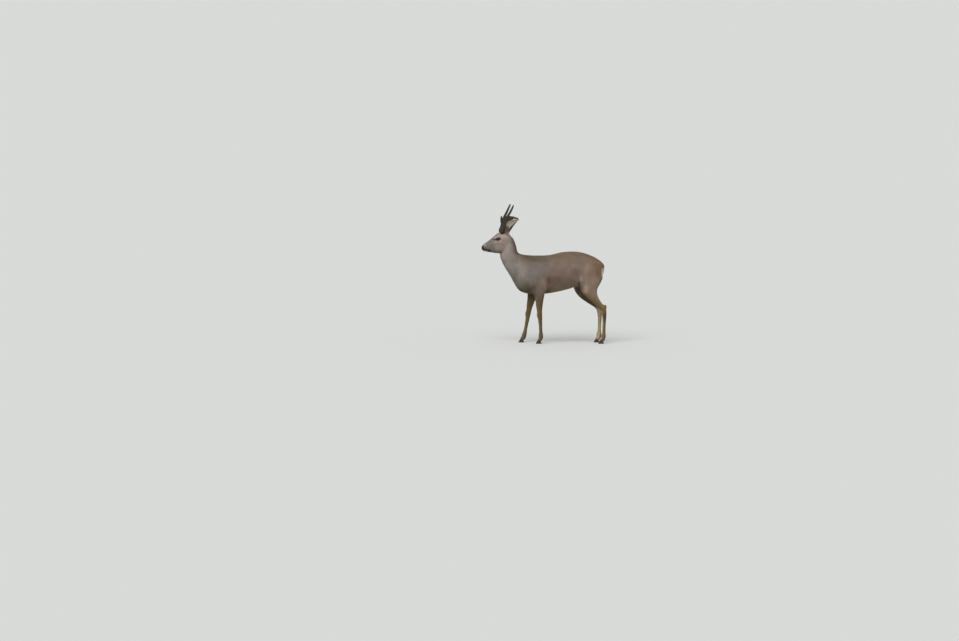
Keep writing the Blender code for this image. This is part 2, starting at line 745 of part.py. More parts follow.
main()
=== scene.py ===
# %% [markdown]
# # A roe buck in winter coat
#
# The solids give the animal's outline out to the tips of its hair. Here they are dressed: one skin
# is cast from the flesh solids and sunk by the depth of the coat, the face is sculpted into it, and
# tufts of hair grow from it along the lie of the coat, up to the outline again.
# Eyes, antlers and claws stay pieces of their own.
#
# We start with the tools, the frame, and the box that the finished animal has to fill.

import math

import bpy
import numpy as np
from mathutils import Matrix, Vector
from mathutils.bvhtree import BVHTree


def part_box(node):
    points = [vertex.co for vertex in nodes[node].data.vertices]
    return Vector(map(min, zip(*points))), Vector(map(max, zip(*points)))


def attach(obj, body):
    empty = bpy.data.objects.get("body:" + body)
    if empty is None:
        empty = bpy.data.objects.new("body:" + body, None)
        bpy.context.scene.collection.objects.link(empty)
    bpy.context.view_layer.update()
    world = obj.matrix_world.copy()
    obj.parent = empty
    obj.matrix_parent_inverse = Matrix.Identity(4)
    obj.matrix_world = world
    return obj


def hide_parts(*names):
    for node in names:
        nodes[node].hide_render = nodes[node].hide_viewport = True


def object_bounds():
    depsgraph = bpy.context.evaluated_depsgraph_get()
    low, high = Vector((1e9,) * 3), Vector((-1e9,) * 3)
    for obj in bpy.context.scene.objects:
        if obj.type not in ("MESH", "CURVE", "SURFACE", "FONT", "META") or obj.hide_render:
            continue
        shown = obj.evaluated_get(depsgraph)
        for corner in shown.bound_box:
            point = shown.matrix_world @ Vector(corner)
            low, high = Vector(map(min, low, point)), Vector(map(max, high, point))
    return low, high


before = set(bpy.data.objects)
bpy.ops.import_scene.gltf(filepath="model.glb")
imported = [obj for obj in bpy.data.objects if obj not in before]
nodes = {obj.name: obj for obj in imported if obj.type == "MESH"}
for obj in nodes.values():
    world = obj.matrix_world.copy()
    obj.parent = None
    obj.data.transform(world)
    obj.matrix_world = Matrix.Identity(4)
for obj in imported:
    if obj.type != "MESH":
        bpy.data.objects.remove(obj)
cad_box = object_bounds()
LOW, HIGH = Vector(cad_box[0]), Vector(cad_box[1])
LENGTH, HEIGHT = HIGH.x - LOW.x, HIGH.z - LOW.z
SIDES = {"left": -1.0, "right": 1.0}  # sign of Y
MM = 0.001
draw = np.random.default_rng(7)  # every chance on the animal is drawn from here, in one fixed order
print("frame:", len(nodes), "nodes, box", [round(v, 4) for v in (*LOW, *HIGH)])

# %% [markdown]
# ## Small helpers
#
# Work that returns on every piece gets a name once: choosing objects, applying modifiers, and reading
# or moving all points of a mesh as one array, which is far quicker than one by one. The eases and
# blobs say softly where on the animal a shape or a colour belongs, so that nothing has a hard edge.

# %% Helpers for objects


def pick(*things):
    """Selects only these objects, the first of them active."""
    bpy.ops.object.select_all(action="DESELECT")
    for thing in things:
        thing.select_set(True)
    bpy.context.view_layer.objects.active = things[0]


def new_object(name, data):
    """A new object in the scene, at the origin."""
    thing = bpy.data.objects.new(name, data)
    bpy.context.scene.collection.objects.link(thing)
    return thing


def modify(thing, kind, **settings):
    """Adds a modifier with these settings and applies it."""
    pick(thing)
    modifier = thing.modifiers.new(kind.title(), kind)
    for setting, value in settings.items():
        setattr(modifier, setting, value)
    bpy.ops.object.modifier_apply(modifier=modifier.name)


def edit_all(operation, **settings):
    """Runs one edit-mode operator on the whole of the active object."""
    bpy.ops.object.mode_set(mode="EDIT")
    bpy.ops.mesh.select_all(action="SELECT")
    operation(**settings)
    bpy.ops.object.mode_set(mode="OBJECT")


# %% Helpers for points


def read(items, key, size=1, kind=float):
    """One property of all of a mesh's items as an array, with a row for each item."""
    flat = np.empty(len(items) * size, kind)
    items.foreach_get(key, flat)
    return flat.reshape(-1, size) if size > 1 else flat


def points_of(thing):
    return read(thing.data.vertices, "co", 3)


def normals_of(thing):
    return read(thing.data.vertices, "normal", 3)


def move_points(thing, places):
    thing.data.vertices.foreach_set("co", np.ascontiguousarray(places, float).ravel())
    thing.data.update()


def select_faces(thing, wanted):
    """Selects the faces whose middle the test takes, and goes into edit mode."""
    pick(thing)
    chosen = wanted(read(thing.data.polygons, "center", 3))
    bpy.ops.object.mode_set(mode="EDIT")
    bpy.ops.mesh.select_mode(type="FACE")
    bpy.ops.mesh.select_all(action="DESELECT")
    bpy.ops.object.mode_set(mode="OBJECT")
    thing.data.polygons.foreach_set("select", chosen)
    bpy.ops.object.mode_set(mode="EDIT")
    return int(chosen.sum())


def joined_copy(names, name):
    """One new object from copies of CAD nodes, with each copy's loose triangles welded."""
    pick(*[new_object(node + "_copy", nodes[node].data.copy()) for node in names])
    bpy.ops.object.join()
    whole = bpy.context.view_layer.objects.active
    whole.name = name
    edit_all(bpy.ops.mesh.remove_doubles, threshold=0.05 * MM)
    whole.data.materials.clear()
    return whole


# %% Helpers for soft shapes


def ease(start, end, value):
    """0 before start, 1 after end, with a smooth turn in between. It also runs backwards."""
    t = np.clip((value - start) / (end - start), 0.0, 1.0)
    return t * t * (3.0 - 2.0 * t)


def unit(rows):
    """The same directions, each of length 1."""
    return rows / np.maximum(np.linalg.norm(rows, axis=-1, keepdims=True), 1e-9)


def bell(value, width):
    """1 where the value is 0, fading to 0 about one width away on both sides."""
    return np.exp(-((value / width) ** 2))


def blob(places, centre, sizes):
    """1 at the centre and fading to 0 about one size away, like a soft ball."""
    away = (places - np.array(centre)) / np.array(sizes)
    return np.exp(-1.6 * (away**2).sum(axis=-1))


def over(rows, other, share):
    """Lays other rows over these by a share for each row, from 0 to 1: colours, directions, sizes."""
    return rows + (other - rows) * share[:, None]


WAVES, WAVES_SUM = 7, 4.2  # how many waves a ripple adds up, and what their sum is divided by


def ripple(places, wavelength, seed=0):
    """Smooth, patternless waves from -1 to 1, the same for the same seed."""
    dice = np.random.default_rng(100 + seed)
    total = np.zeros(len(places))
    for _ in range(WAVES):
        heading = unit(dice.normal(size=3)) * 2 * math.pi / (wavelength * dice.uniform(0.7, 1.5))
        total += np.sin(places @ heading + dice.uniform(0, 2 * math.pi))
    return total / WAVES_SUM


# %% [markdown]
# ## Camera, light and floor
#
# A long lens far away keeps the animal's proportions true. The view is wide, with the buck right of
# its middle, seen level with its side and from a little above. The sky of an overcast day is a very
# broad, soft sun and an even world light, and the floor is a plain pale sheet.

# %% Camera
ELEVATION = math.radians(5.0)
DISTANCE, FAR_END = 70.0, 400.0
SENSOR = 36.0
VIEW_WIDTH = 7.6416 * LENGTH
AIM = Vector((LOW.x - 0.0143 * LENGTH, 0.0, 0.1625 * HEIGHT))

camera_data = bpy.data.cameras.new("long_lens")
camera_data.sensor_width = SENSOR
camera_data.lens = SENSOR * DISTANCE / VIEW_WIDTH
camera_data.clip_end = FAR_END
camera = new_object("camera", camera_data)
camera.location = AIM + DISTANCE * Vector((0.0, -math.cos(ELEVATION), math.sin(ELEVATION)))
camera.rotation_euler = (math.pi / 2 - ELEVATION, 0.0, 0.0)
bpy.context.scene.camera = camera
bpy.context.scene.view_settings.view_transform = "Standard"
print("lens", round(camera_data.lens, 1), "mm, view", round(VIEW_WIDTH, 3), "m wide")

# %% Light and floor
SUN_STRENGTH, SUN_COLOUR = 2.3, (1.0, 0.975, 0.94)
SUN_BREADTH = math.radians(50.0)
SUN_TILT = (math.radians(38.0), math.radians(-16.0), 0.0)
SKY_STRENGTH, SKY_COLOUR = 0.62, (0.90, 0.95, 1.0, 1.0)
FLOOR_SIZE, FLOOR_ROUGHNESS, FLOOR_COLOUR = 240.0, 0.9, (0.62, 0.62, 0.60, 1.0)

sun_data = bpy.data.lights.new("overcast_sun", "SUN")
sun_data.energy = SUN_STRENGTH
sun_data.angle = SUN_BREADTH
sun_data.color = SUN_COLOUR
new_object("overcast_sun", sun_data).rotation_euler = SUN_TILT

world = bpy.data.worlds.new("grey_sky")
world.use_nodes = True
sky = world.node_tree.nodes["Background"].inputs
sky["Color"].default_value = SKY_COLOUR
sky["Strength"].default_value = SKY_STRENGTH
bpy.context.scene.world = world

bpy.ops.object.select_all(action="DESELECT")
bpy.ops.mesh.primitive_plane_add(size=FLOOR_SIZE, location=(0.0, 0.0, 0.0))
floor = bpy.context.active_object
floor.name = "floor"
floor_paint = bpy.data.materials.new("pale_floor")
floor_paint.use_nodes = True
floor_inputs = floor_paint.node_tree.nodes["Principled BSDF"].inputs
floor_inputs["Base Color"].default_value = FLOOR_COLOUR
floor_inputs["Roughness"].default_value = FLOOR_ROUGHNESS
floor.data.materials.append(floor_paint)
print("floor", FLOOR_SIZE, "m across, sun", SUN_STRENGTH, "and sky", SKY_STRENGTH)

# %% [markdown]
# ## The head's own axes
#
# The buck looks a little to its left, so everything on the head is placed in axes that turn with it:
# x runs back from between the eyes, y to the animal's right and z up. The eyes' boxes give the turn.
# Both sides of a face are alike, so each rule for it is written once, for the right side.

# %% The head's own axes


def middle_of(node):
    low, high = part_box(node)
    return (low + high) / 2


EYE_RADIUS = (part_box("eye_left")[1].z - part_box("eye_left")[0].z) / 2
BETWEEN_EYES = (middle_of("eye_left") + middle_of("eye_right")) / 2
ACROSS_EYES = middle_of("eye_right") - middle_of("eye_left")
EYE_OUT = ACROSS_EYES.length / 2
EYE_MIDDLE = np.array([0.0, EYE_OUT, 0.0])
HEAD_TURN = math.atan2(-ACROSS_EYES.x, ACROSS_EYES.y)
TURN_ROWS = np.array(
    [
        [math.cos(HEAD_TURN), math.sin(HEAD_TURN), 0.0],
        [-math.sin(HEAD_TURN), math.cos(HEAD_TURN), 0.0],
        [0.0, 0.0, 1.0],
    ]
)
JAW_X, JAW_Z = 0.069, -0.051  # where the jaw's rear edge meets the neck


def to_head(places):
    return (places - np.array(BETWEEN_EYES)) @ TURN_ROWS.T


def from_head(places):
    return np.asarray(places) @ TURN_ROWS + np.array(BETWEEN_EYES)


def side_flip(h):
    """Multiplies head places or directions so that the left side folds onto the right, or back."""
    return np.where(h[:, 1:2] < 0, -1.0, 1.0) * [0.0, 1.0, 0.0] + [1.0, 0.0, 1.0]


def mirrored(h):
    """Head places folded onto one side, so that one rule shapes both."""
    return h * side_flip(h)


def head_part(places):
    """1 on the head and ears, 0 on the neck behind the jaw."""
    h = to_head(places)
    behind = (h[:, 0] - JAW_X) * 0.889 - (h[:, 2] - JAW_Z) * 0.458
    return ease(0.026, -0.012, behind) * ease(0.24, 0.30, places[:, 2])


print("head turned", round(math.degrees(HEAD_TURN), 1), "degrees, eye radius", round(EYE_RADIUS, 4))

# %% [markdown]
# ## How deep the coat is
#
# The tips of the winter hair stand highest off the skin on the white patch, then on the neck and
# trunk, and hardly at all on the face and shanks. One function says how deep the coat is everywhere,
# and both the skin and the hair are made from it, so that they always fit each other.

# %% Depth of the coat
BODY_DEPTH, NECK_DEPTH, RUMP_DEPTH = 5.5 * MM, 6.5 * MM, 8.5 * MM
FACE_DEPTH, CHEEK_DEPTH, SHANK_DEPTH = 0.9 * MM, 3.0 * MM, 1.3 * MM
TAIL_PLACE = np.array(middle_of("tail"))
PATCH_PLACE = TAIL_PLACE + np.array([0.012, 0.0, -0.034])
LOBE_APART, LOBE_SIZE = 0.028, np.array([0.052, 0.056, 0.054])
NOTCH_DEPTH, NOTCH_WIDTH = 0.010, 0.018


def leg_part(places):
    """1 on the shanks and feet, fading to 0 at elbow and stifle."""
    upper = 0.42 + 0.05 * ease(0.2, 0.3, places[:, 0])
    return ease(upper, 0.27, places[:, 2])


def neck_part(places):
    """1 on the neck, from behind the jaw to the shoulder."""
    return ease(-0.10, -0.22, places[:, 0]) * ease(0.42, 0.52, places[:, 2]) * (1.0 - head_part(places))


def rump_part(places):
    """1 on the white patch round the tail: two lobes side by side, notched on top, like a kidney."""
    away = places - PATCH_PLACE
    away[:, 1] = np.maximum(np.abs(away[:, 1]) - LOBE_APART, 0.0)
    away[:, 2] += NOTCH_DEPTH * bell(places[:, 1], NOTCH_WIDTH) * (away[:, 2] > 0)
    reach = np.linalg.norm(away / LOBE_SIZE, axis=1) + 0.05 * ripple(places, 0.02, 3)
    return ease(1.12, 0.88, reach)


def coat_depth(places):
    """How far the tips of the hair stand off the skin at each place."""
    h = to_head(places)
    depth = BODY_DEPTH + (NECK_DEPTH - BODY_DEPTH) * neck_part(places)
    depth += (RUMP_DEPTH - depth) * rump_part(places)
    depth += (SHANK_DEPTH - depth) * leg_part(places)
    cheek = ease(0.015, 0.075, h[:, 0] - 0.4 * h[:, 2]) * ease(0.02, -0.02, h[:, 2])
    on_head = FACE_DEPTH + (CHEEK_DEPTH - FACE_DEPTH) * cheek
    return depth + (on_head - depth) * head_part(places)


print("coat depth from", FACE_DEPTH / MM, "to", RUMP_DEPTH / MM, "mm")

# %% [markdown]
# ## One skin for the whole body
#
# The flesh solids are parted by hair-thin cuts. Copies of them are swollen by half a millimetre so
# that they overlap, and a voxel remesh then casts one closed surface over them all, with no seam.
# Smoothing takes the facets out. The eyes are cast in with it, as if the lids were shut: the
# openings come later. Last, the surface sinks by the depth of the coat.

# %% One skin
SKIN_GRAIN = 5.0 * MM
SWELL = 0.5 * MM
FLESH = ["head", "nose", "jaw", "neck", "trunk", "tail"]
for side in SIDES:
    FLESH += [f"foreleg_{side}_{part}" for part in ("upper", "lower")]
    FLESH += [f"hindleg_{side}_{part}" for part in ("thigh", "shank", "lower")]

skin = joined_copy(FLESH + ["eye_left", "eye_right"], "skin")
modify(skin, "DISPLACE", strength=SWELL, mid_level=0.0)
modify(skin, "REMESH", mode="VOXEL", voxel_size=SKIN_GRAIN)
print("skin:", len(skin.data.polygons), "faces, cast at", SKIN_GRAIN / MM, "mm")

# %% Smoothed and sunk
LEAST_SOFT = 0.12
places = points_of(skin)
softness = skin.vertex_groups.new(name="softness")
weights = np.clip(1.0 - 0.78 * leg_part(places) - 0.70 * head_part(places), LEAST_SOFT, 1.0).round(1)
for level in np.unique(weights):
    members = np.nonzero(weights == level)[0]
    softness.add(members.tolist(), float(level), "REPLACE")
modify(skin, "SMOOTH", factor=0.5, iterations=22, vertex_group="softness")

places = points_of(skin)
sunk = coat_depth(places) + SWELL - 0.5 * MM * leg_part(places)
move_points(skin, places - normals_of(skin) * sunk[:, None])
print("skin sunk by", round(sunk.min() / MM, 1), "to", round(sunk.max() / MM, 1), "mm")

# %% [markdown]
# ## Pasterns
#
# Above a hoof the coronet, where hair meets horn, falls from the front towards the heel. The flesh
# of each foot is turned about its middle until it does, its front is tucked in so that the toe
# stands out ahead of it, and it swells a little over the dewclaws, which sit in it. Moving the
# skin's own points keeps leg and foot one unbroken surface, which a separate foot would not be.

# %% Pasterns
FOOT_TURN, FOOT_TUCK = math.radians(30.0), 0.38
FOOT_HEIGHT = 22.0 * MM
DEWCLAW_SWELL = 5.5 * MM
SWELL_PLACE, SWELL_SIZE = np.array([-0.006, 0.0, 0.009]), (0.011, 0.009, 0.011)
FEET = {}
for side in SIDES:
    for foot in ("foreleg", "hindleg"):
        claws = [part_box(f"{foot}_{side}_claw_{place}") for place in ("inner", "outer")]
        dewclaws = [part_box(f"{foot}_{side}_dewclaw_{place}") for place in ("inner", "outer")]
        FEET[foot, side] = {
            "toe": min(low.x for low, high in claws),
            "heel": max(high.x for low, high in claws),
            "middle": sum(low.y + high.y for low, high in claws) / 4,
            "dewclaws": [np.array((low + high) / 2) for low, high in dewclaws],
        }


def shape_pasterns(places):
    for foot in FEET.values():
        pivot = foot["toe"] + 0.60 * (foot["heel"] - foot["toe"])
        x, y, z = places.T.copy()
        near = ease(0.034, 0.026, np.abs(y - foot["middle"])) * ease(0.050, 0.040, np.abs(x - pivot))
        share = near * ease(0.062, 0.030, z)
        turn = FOOT_TURN * share
        along, rise = x - pivot, z - FOOT_HEIGHT
        turned = along * np.cos(turn) + rise * np.sin(turn)
        turned *= 1.0 - FOOT_TUCK * share * ease(0.0, -0.006, turned)
        places[:, 0] = pivot + turned
        places[:, 2] = FOOT_HEIGHT + rise * np.cos(turn) - along * np.sin(turn)
        for dewclaw in foot["dewclaws"]:
            places[:, 0] += DEWCLAW_SWELL * blob(places, dewclaw + SWELL_PLACE, SWELL_SIZE)
    return places


move_points(skin, shape_pasterns(points_of(skin)))
print("pasterns shaped on", len(FEET), "feet")

# %% [markdown]
# ## Ears
#
# A roe's ear is a rolled leaf: a narrow funnel where it leaves the skull, widest below its middle,
# pointed at its tip, with low ridges inside. A flat grid is rolled up row by row, given its wall,
# and joined to the skin with a Boolean union, so that skin runs up into the ear without a break.

# %% The leaf of an ear
EAR_ROOT = Vector((0.0776, 0.0301, 0.0300))
EAR_TIP = Vector((0.1551, 0.0911, 0.1561))
EAR_OPENING = Vector((-0.17, 0.97, 0.10))
EAR_HALF_WIDTH, EAR_ARCH = 0.0262, 0.0320
EAR_WALL = 2.4 * MM
EAR_ROWS, EAR_COLUMNS = 44, 29
ROLL_AT_ROOT, ROLL_AT_TIP = 118.0, 40.0
RIDGE_HEIGHT, RIDGE_STEP = 0.9 * MM, 7.5

ear_along = (EAR_TIP - EAR_ROOT).normalized()
ear_length = (EAR_TIP - EAR_ROOT).length
ear_out = (EAR_OPENING - ear_along * EAR_OPENING.dot(ear_along)).normalized()
ear_across = ear_along.cross(ear_out)


def ear_half_width(t):
    """Half the width of the flat leaf: narrow at the root, widest below its middle, pointed."""
    blade = np.maximum(0.0, np.sin(math.pi * t**1.15)) ** 1.1
    return EAR_HALF_WIDTH * np.maximum(0.07, 0.36 * (1.0 - t) + 0.86 * blade)


def ear_surface(u, t):
    """Places on the leaf: t from 0 at the root to 1 at the tip, u from -1 to 1 across it."""
    width = ear_half_width(t)
    roll = np.radians(ROLL_AT_ROOT + (ROLL_AT_TIP - ROLL_AT_ROOT) * ease(0.0, 0.75, t))
    radius = width / np.sin(np.minimum(roll, math.pi / 2))
    sideways = radius * np.sin(roll * u) + EAR_ARCH * np.sin(math.pi * t)
    outward = radius * (1.0 - np.cos(roll * u)) - 0.6 * width
    ridges = RIDGE_HEIGHT * np.cos(u * RIDGE_STEP)
    outward += ridges * ease(0.15, 0.4, t) * ease(0.98, 0.6, t) * (1.0 - u**2)
    rows = np.outer(ear_length * t, ear_along) + np.outer(sideways, ear_across)
    return np.array(EAR_ROOT) + rows + np.outer(outward, ear_out)


def ear_shell(side, sign):
    """One ear with its wall, at its place on the head."""
    bpy.ops.object.select_all(action="DESELECT")
    bpy.ops.mesh.primitive_grid_add(x_subdivisions=EAR_COLUMNS, y_subdivisions=EAR_ROWS, size=2.0)
    leaf = bpy.context.active_object
    leaf.name = f"ear_{side}_leaf"
    flat = points_of(leaf)
    rolled = ear_surface(flat[:, 0], np.clip(flat[:, 1] / 2 + 0.5, 0.0, 1.0))
    move_points(leaf, from_head(rolled * np.array([1.0, sign, 1.0])))
    modify(leaf, "SOLIDIFY", thickness=EAR_WALL, offset=0.0)
    edit_all(bpy.ops.mesh.normals_make_consistent, inside=False)
    return leaf


print("ear", round(ear_length, 3), "m long,", 2 * EAR_HALF_WIDTH, "m wide when flat")

# %% Ears joined to the skin
ROOT_REACH = 0.020


def refine(wanted, smoothing):
    """Splits the chosen faces of the skin in four and rounds off the new points."""
    count = select_faces(skin, wanted)
    bpy.ops.mesh.subdivide(number_cuts=1)
    bpy.ops.mesh.vertices_smooth(factor=0.5, repeat=smoothing)
    bpy.ops.object.mode_set(mode="OBJECT")
    return count


def at_ear_root(middles):
    root = np.array(EAR_ROOT) + 0.10 * np.array(EAR_TIP - EAR_ROOT)
    return np.linalg.norm(mirrored(to_head(middles)) - root, axis=1) < ROOT_REACH


refine(lambda middles: head_part(middles) > 0.3, 3)
for side, sign in SIDES.items():
    leaf = ear_shell(side, sign)
    modify(skin, "BOOLEAN", operation="UNION", solver="EXACT", object=leaf)
    bpy.data.objects.remove(leaf, do_unlink=True)
select_faces(skin, at_ear_root)
bpy.ops.mesh.vertices_smooth(factor=0.5, repeat=3)
bpy.ops.object.mode_set(mode="OBJECT")
print("skin with ears:", len(skin.data.polygons), "faces")

# %% [markdown]
# ## The face
#
# The face is sculpted by moving points, as with brushes: lids that part over the eyeball, nostrils,
# the line of the mouth, the hollow before the eye and the swell of the cheek. The mesh is split
# finer there first, so that a lid or a nostril edge has points enough.

# %% Finer mesh for eyes, nose and mouth
NOSTRIL = np.array([-0.1135, 0.0128, -0.0600])
NOSE_MIDDLE = np.array([-0.115, 0.0, -0.065])
MOUTH_X = np.array([-0.130, -0.1220, -0.1050, -0.0800, -0.0560, -0.0500])
MOUTH_Z = np.array([-0.0830, -0.0835, -0.0880, -0.0920, -0.0950, -0.0955])
MOUTH_CORNER = -0.048


def above_mouth(h):
    """How far above the line between the lips."""
    return h[:, 2] - np.interp(h[:, 0], MOUTH_X, MOUTH_Z)


def wants_detail(middles):
    h = mirrored(to_head(middles))
    near_eye = np.linalg.norm(h - EYE_MIDDLE, axis=1) < 0.025
    near_nose = np.linalg.norm(h - NOSE_MIDDLE, axis=1) < 0.034
    near_mouth = (h[:, 0] < MOUTH_CORNER) & (np.abs(above_mouth(h)) < 0.007)
    return near_eye | near_nose | near_mouth


print("split finer:", refine(wants_detail, 2), "faces")

# %% Lids
EYE_AIM = unit(np.array([-0.20, 1.0, 0.10]))
LID_SLANT = np.array([-0.90, -0.16, -0.25])
LID_LONG = unit(LID_SLANT - EYE_AIM * (EYE_AIM @ LID_SLANT))
LID_UP = np.cross(LID_LONG, EYE_AIM)
LID_UP *= np.sign(LID_UP[2])
LID_HALF_LENGTH, LID_HALF_HEIGHT = 0.90, 0.60  # as shares of the eyeball's radius
LID_THICKNESS = 1.5 * MM
LID_CREASE = 0.9 * MM
LID_REACH = 2.1  # how many lid openings wide the lids are


def lid_share(h):
    """How far from the middle of the lid opening: 1 at its edge. Large at the back of the ball."""
    away = h - EYE_MIDDLE
    reach = np.linalg.norm(away, axis=1)
    aim = away / np.maximum(reach, 1e-6)[:, None]
    along, up = aim @ LID_LONG, aim @ LID_UP
    height = LID_HALF_HEIGHT * np.where(up > 0, 1.0, 0.86) * (1.0 - 0.25 * np.maximum(0.0, along))
    share = np.sqrt((along / LID_HALF_LENGTH) ** 2 + (up / height) ** 2)
    return np.where(aim @ EYE_AIM > 0.1, share, 9.0), reach, aim, up


def sculpt_eye(h):
    """Lays the lids over the eyeball, with a crease above it, and sinks the opening behind it."""
    share, reach, aim, up = lid_share(h)
    near = reach < 2.2 * EYE_RADIUS
    rim = EYE_RADIUS + LID_THICKNESS * np.where(up > 0, 1.15, 0.85)
    lid = ease(LID_REACH, 1.12, share)
    crease = LID_CREASE * bell(share - 1.62, 0.16) * ease(0.0, 0.2, up)
    closed = reach + (rim - reach) * lid - crease
    opened = EYE_RADIUS - 3.0 * MM
    new = closed + (opened - closed) * ease(1.05, 0.93, share)
    moved = EYE_MIDDLE + aim * new[:, None]
    return np.where((near & (share < LID_REACH))[:, None], moved, h)


# %% Nostrils and mouth


def nostril_part(h, wider=0.0):
    """1 inside the comma of the nostril: round in front, with a tail that sweeps up and back."""
    away = mirrored(h) - NOSTRIL
    along = away @ unit(np.array([0.62, 0.10, 0.78]))
    across = away @ unit(np.array([-0.72, 0.30, 0.60])) + 55.0 * along**2 - 0.6 * MM
    half = (2.3 - 1.5 * ease(-1.0 * MM, 5.0 * MM, along)) * MM + wider
    return np.exp(-((along / (5.0 * MM + wider)) ** 4) - (across / half) ** 2)


def sculpt_nose(h, out):
    """Swells the wing round each nostril and cuts the cleft between them."""
    reach = np.linalg.norm(h - NOSTRIL, axis=1)
    wing = bell(reach - 6.8 * MM, 2.6 * MM) * ease(-0.100, -0.112, h[:, 0])
    cleft = bell(h[:, 1], 1.1 * MM) * ease(-0.112, -0.120, h[:, 0])
    lift = 1.0 * MM * wing - 0.9 * MM * cleft * ease(-0.058, -0.068, h[:, 2])
    return h + out * lift[:, None]


def sculpt_mouth(h, out):
    """Cuts the line between the lips, under a fuller upper lip."""
    above = above_mouth(h)
    line = bell(above, 1.0 * MM)
    upper = bell(above - 3.5 * MM, 3.0 * MM)
    lower = bell(above + 3.0 * MM, 3.0 * MM)
    lift = ease(-0.050, -0.060, h[:, 0]) * (-1.4 * MM * line + 0.7 * MM * upper - 0.5 * MM * lower)
    return h + out * lift[:, None]


# %% Forms of the face
FORMS = [  # centre, size, rise in mm
    ((0.028, 0.040, -0.062), (0.030, 0.030, 0.026), 1.6),  # the chewing muscle
    ((-0.038, 0.030, -0.018), (0.018, 0.020, 0.012), -1.8),  # hollow before the eye
    ((0.000, 0.040, 0.021), (0.020, 0.020, 0.009), 1.4),  # brow
    ((-0.030, 0.034, -0.034), (0.036, 0.020, 0.008), 1.1),  # cheekbone
    ((-0.070, 0.000, -0.016), (0.030, 0.010, 0.020), 0.8),  # bridge of the nose
    ((0.030, 0.034, 0.008), (0.012, 0.020, 0.016), -1.6),  # temple
    ((-0.108, 0.000, -0.100), (0.012, 0.014, 0.010), 1.0),  # chin
]


def sculpt_forms(h, out):
    lift = sum(rise * MM * blob(h, centre, sizes) for centre, sizes, rise in FORMS)
    return h + out * lift[:, None]


def head_normals(thing):
    return normals_of(thing) @ TURN_ROWS.T


places = points_of(skin)
h = to_head(places)
flip = side_flip(h)
out = head_normals(skin) * flip
h = h * flip
for brush in (sculpt_forms, sculpt_nose, sculpt_mouth):
    h = brush(h, out)
h = sculpt_eye(h)
on_head = (head_part(places) > 0.0)[:, None]
move_points(skin, np.where(on_head, from_head(h * flip), places))
skin.data.shade_smooth()
print("face sculpted on", int(on_head.sum()), "points")

# %% [markdown]
# ## The nose
#
# The nose is bare, wet leather, set in the hair like a cap. It is lifted off the skin as a copy of the
# faces there, so that it fits exactly, then split finer to take the comma-shaped nostrils. Its edge
# dips under the hair, and the skin beneath is pressed in so that it never shows through.

# %% Nose leather
LEATHER_MIDDLE = np.array([-0.1245, 0.0, -0.0650])
LEATHER_REACH = np.array([0.0195, 0.0225, 0.0205])
LEATHER_WALL = 0.8 * MM
LEATHER_RISE = 0.5 * MM
PRESSED_IN = 1.4 * MM
NOSTRIL_DEPTH = 6.5 * MM


def leather_part(h, soft=0.08):
    """1 on the bare nose: round the nostrils, up to the bridge and down to the lip."""
    away = np.linalg.norm((mirrored(h) - LEATHER_MIDDLE) / LEATHER_REACH, axis=1)
    return ease(1.0 + soft / 2, 1.0 - soft / 2, away)


select_faces(skin, lambda middles: leather_part(to_head(middles), 0.16) > 0.0)
bpy.ops.mesh.duplicate()
bpy.ops.mesh.separate(type="SELECTED")
bpy.ops.object.mode_set(mode="OBJECT")
leather = next(thing for thing in bpy.context.selected_objects if thing is not skin)
leather.name = "nose_leather"
modify(leather, "SUBSURF", levels=1, render_levels=1)
h = to_head(points_of(leather))
lift = LEATHER_RISE * leather_part(h, 0.30) - LEATHER_RISE * (1.0 - leather_part(h, 0.12))
lift -= NOSTRIL_DEPTH * nostril_part(h)
move_points(leather, from_head(h + head_normals(leather) * lift[:, None]))
modify(leather, "SOLIDIFY", thickness=LEATHER_WALL, offset=-1.0)
leather.data.shade_smooth()
print("nose leather:", len(leather.data.polygons), "faces")

# %% Skin pressed in under the leather
h = to_head(points_of(skin))
press = PRESSED_IN * leather_part(h, 0.3) + 1.35 * NOSTRIL_DEPTH * nostril_part(h, 0.6 * MM)
near_nose = (leather_part(h, 0.5) > 0.0)[:, None]
pressed = from_head(h - head_normals(skin) * press[:, None])
move_points(skin, np.where(near_nose, pressed, points_of(skin)))
print("skin pressed in at", int(near_nose.sum()), "points")

# %% [markdown]
# ## Eyes
#
# A roe's eye is large, wet and almost black, with a level, oblong pupil. Each is a ball whose pole
# looks outwards. The cornea is drawn out of it by proportional editing, and a flat map of its front
# tells the material where the pupil and the iris lie.

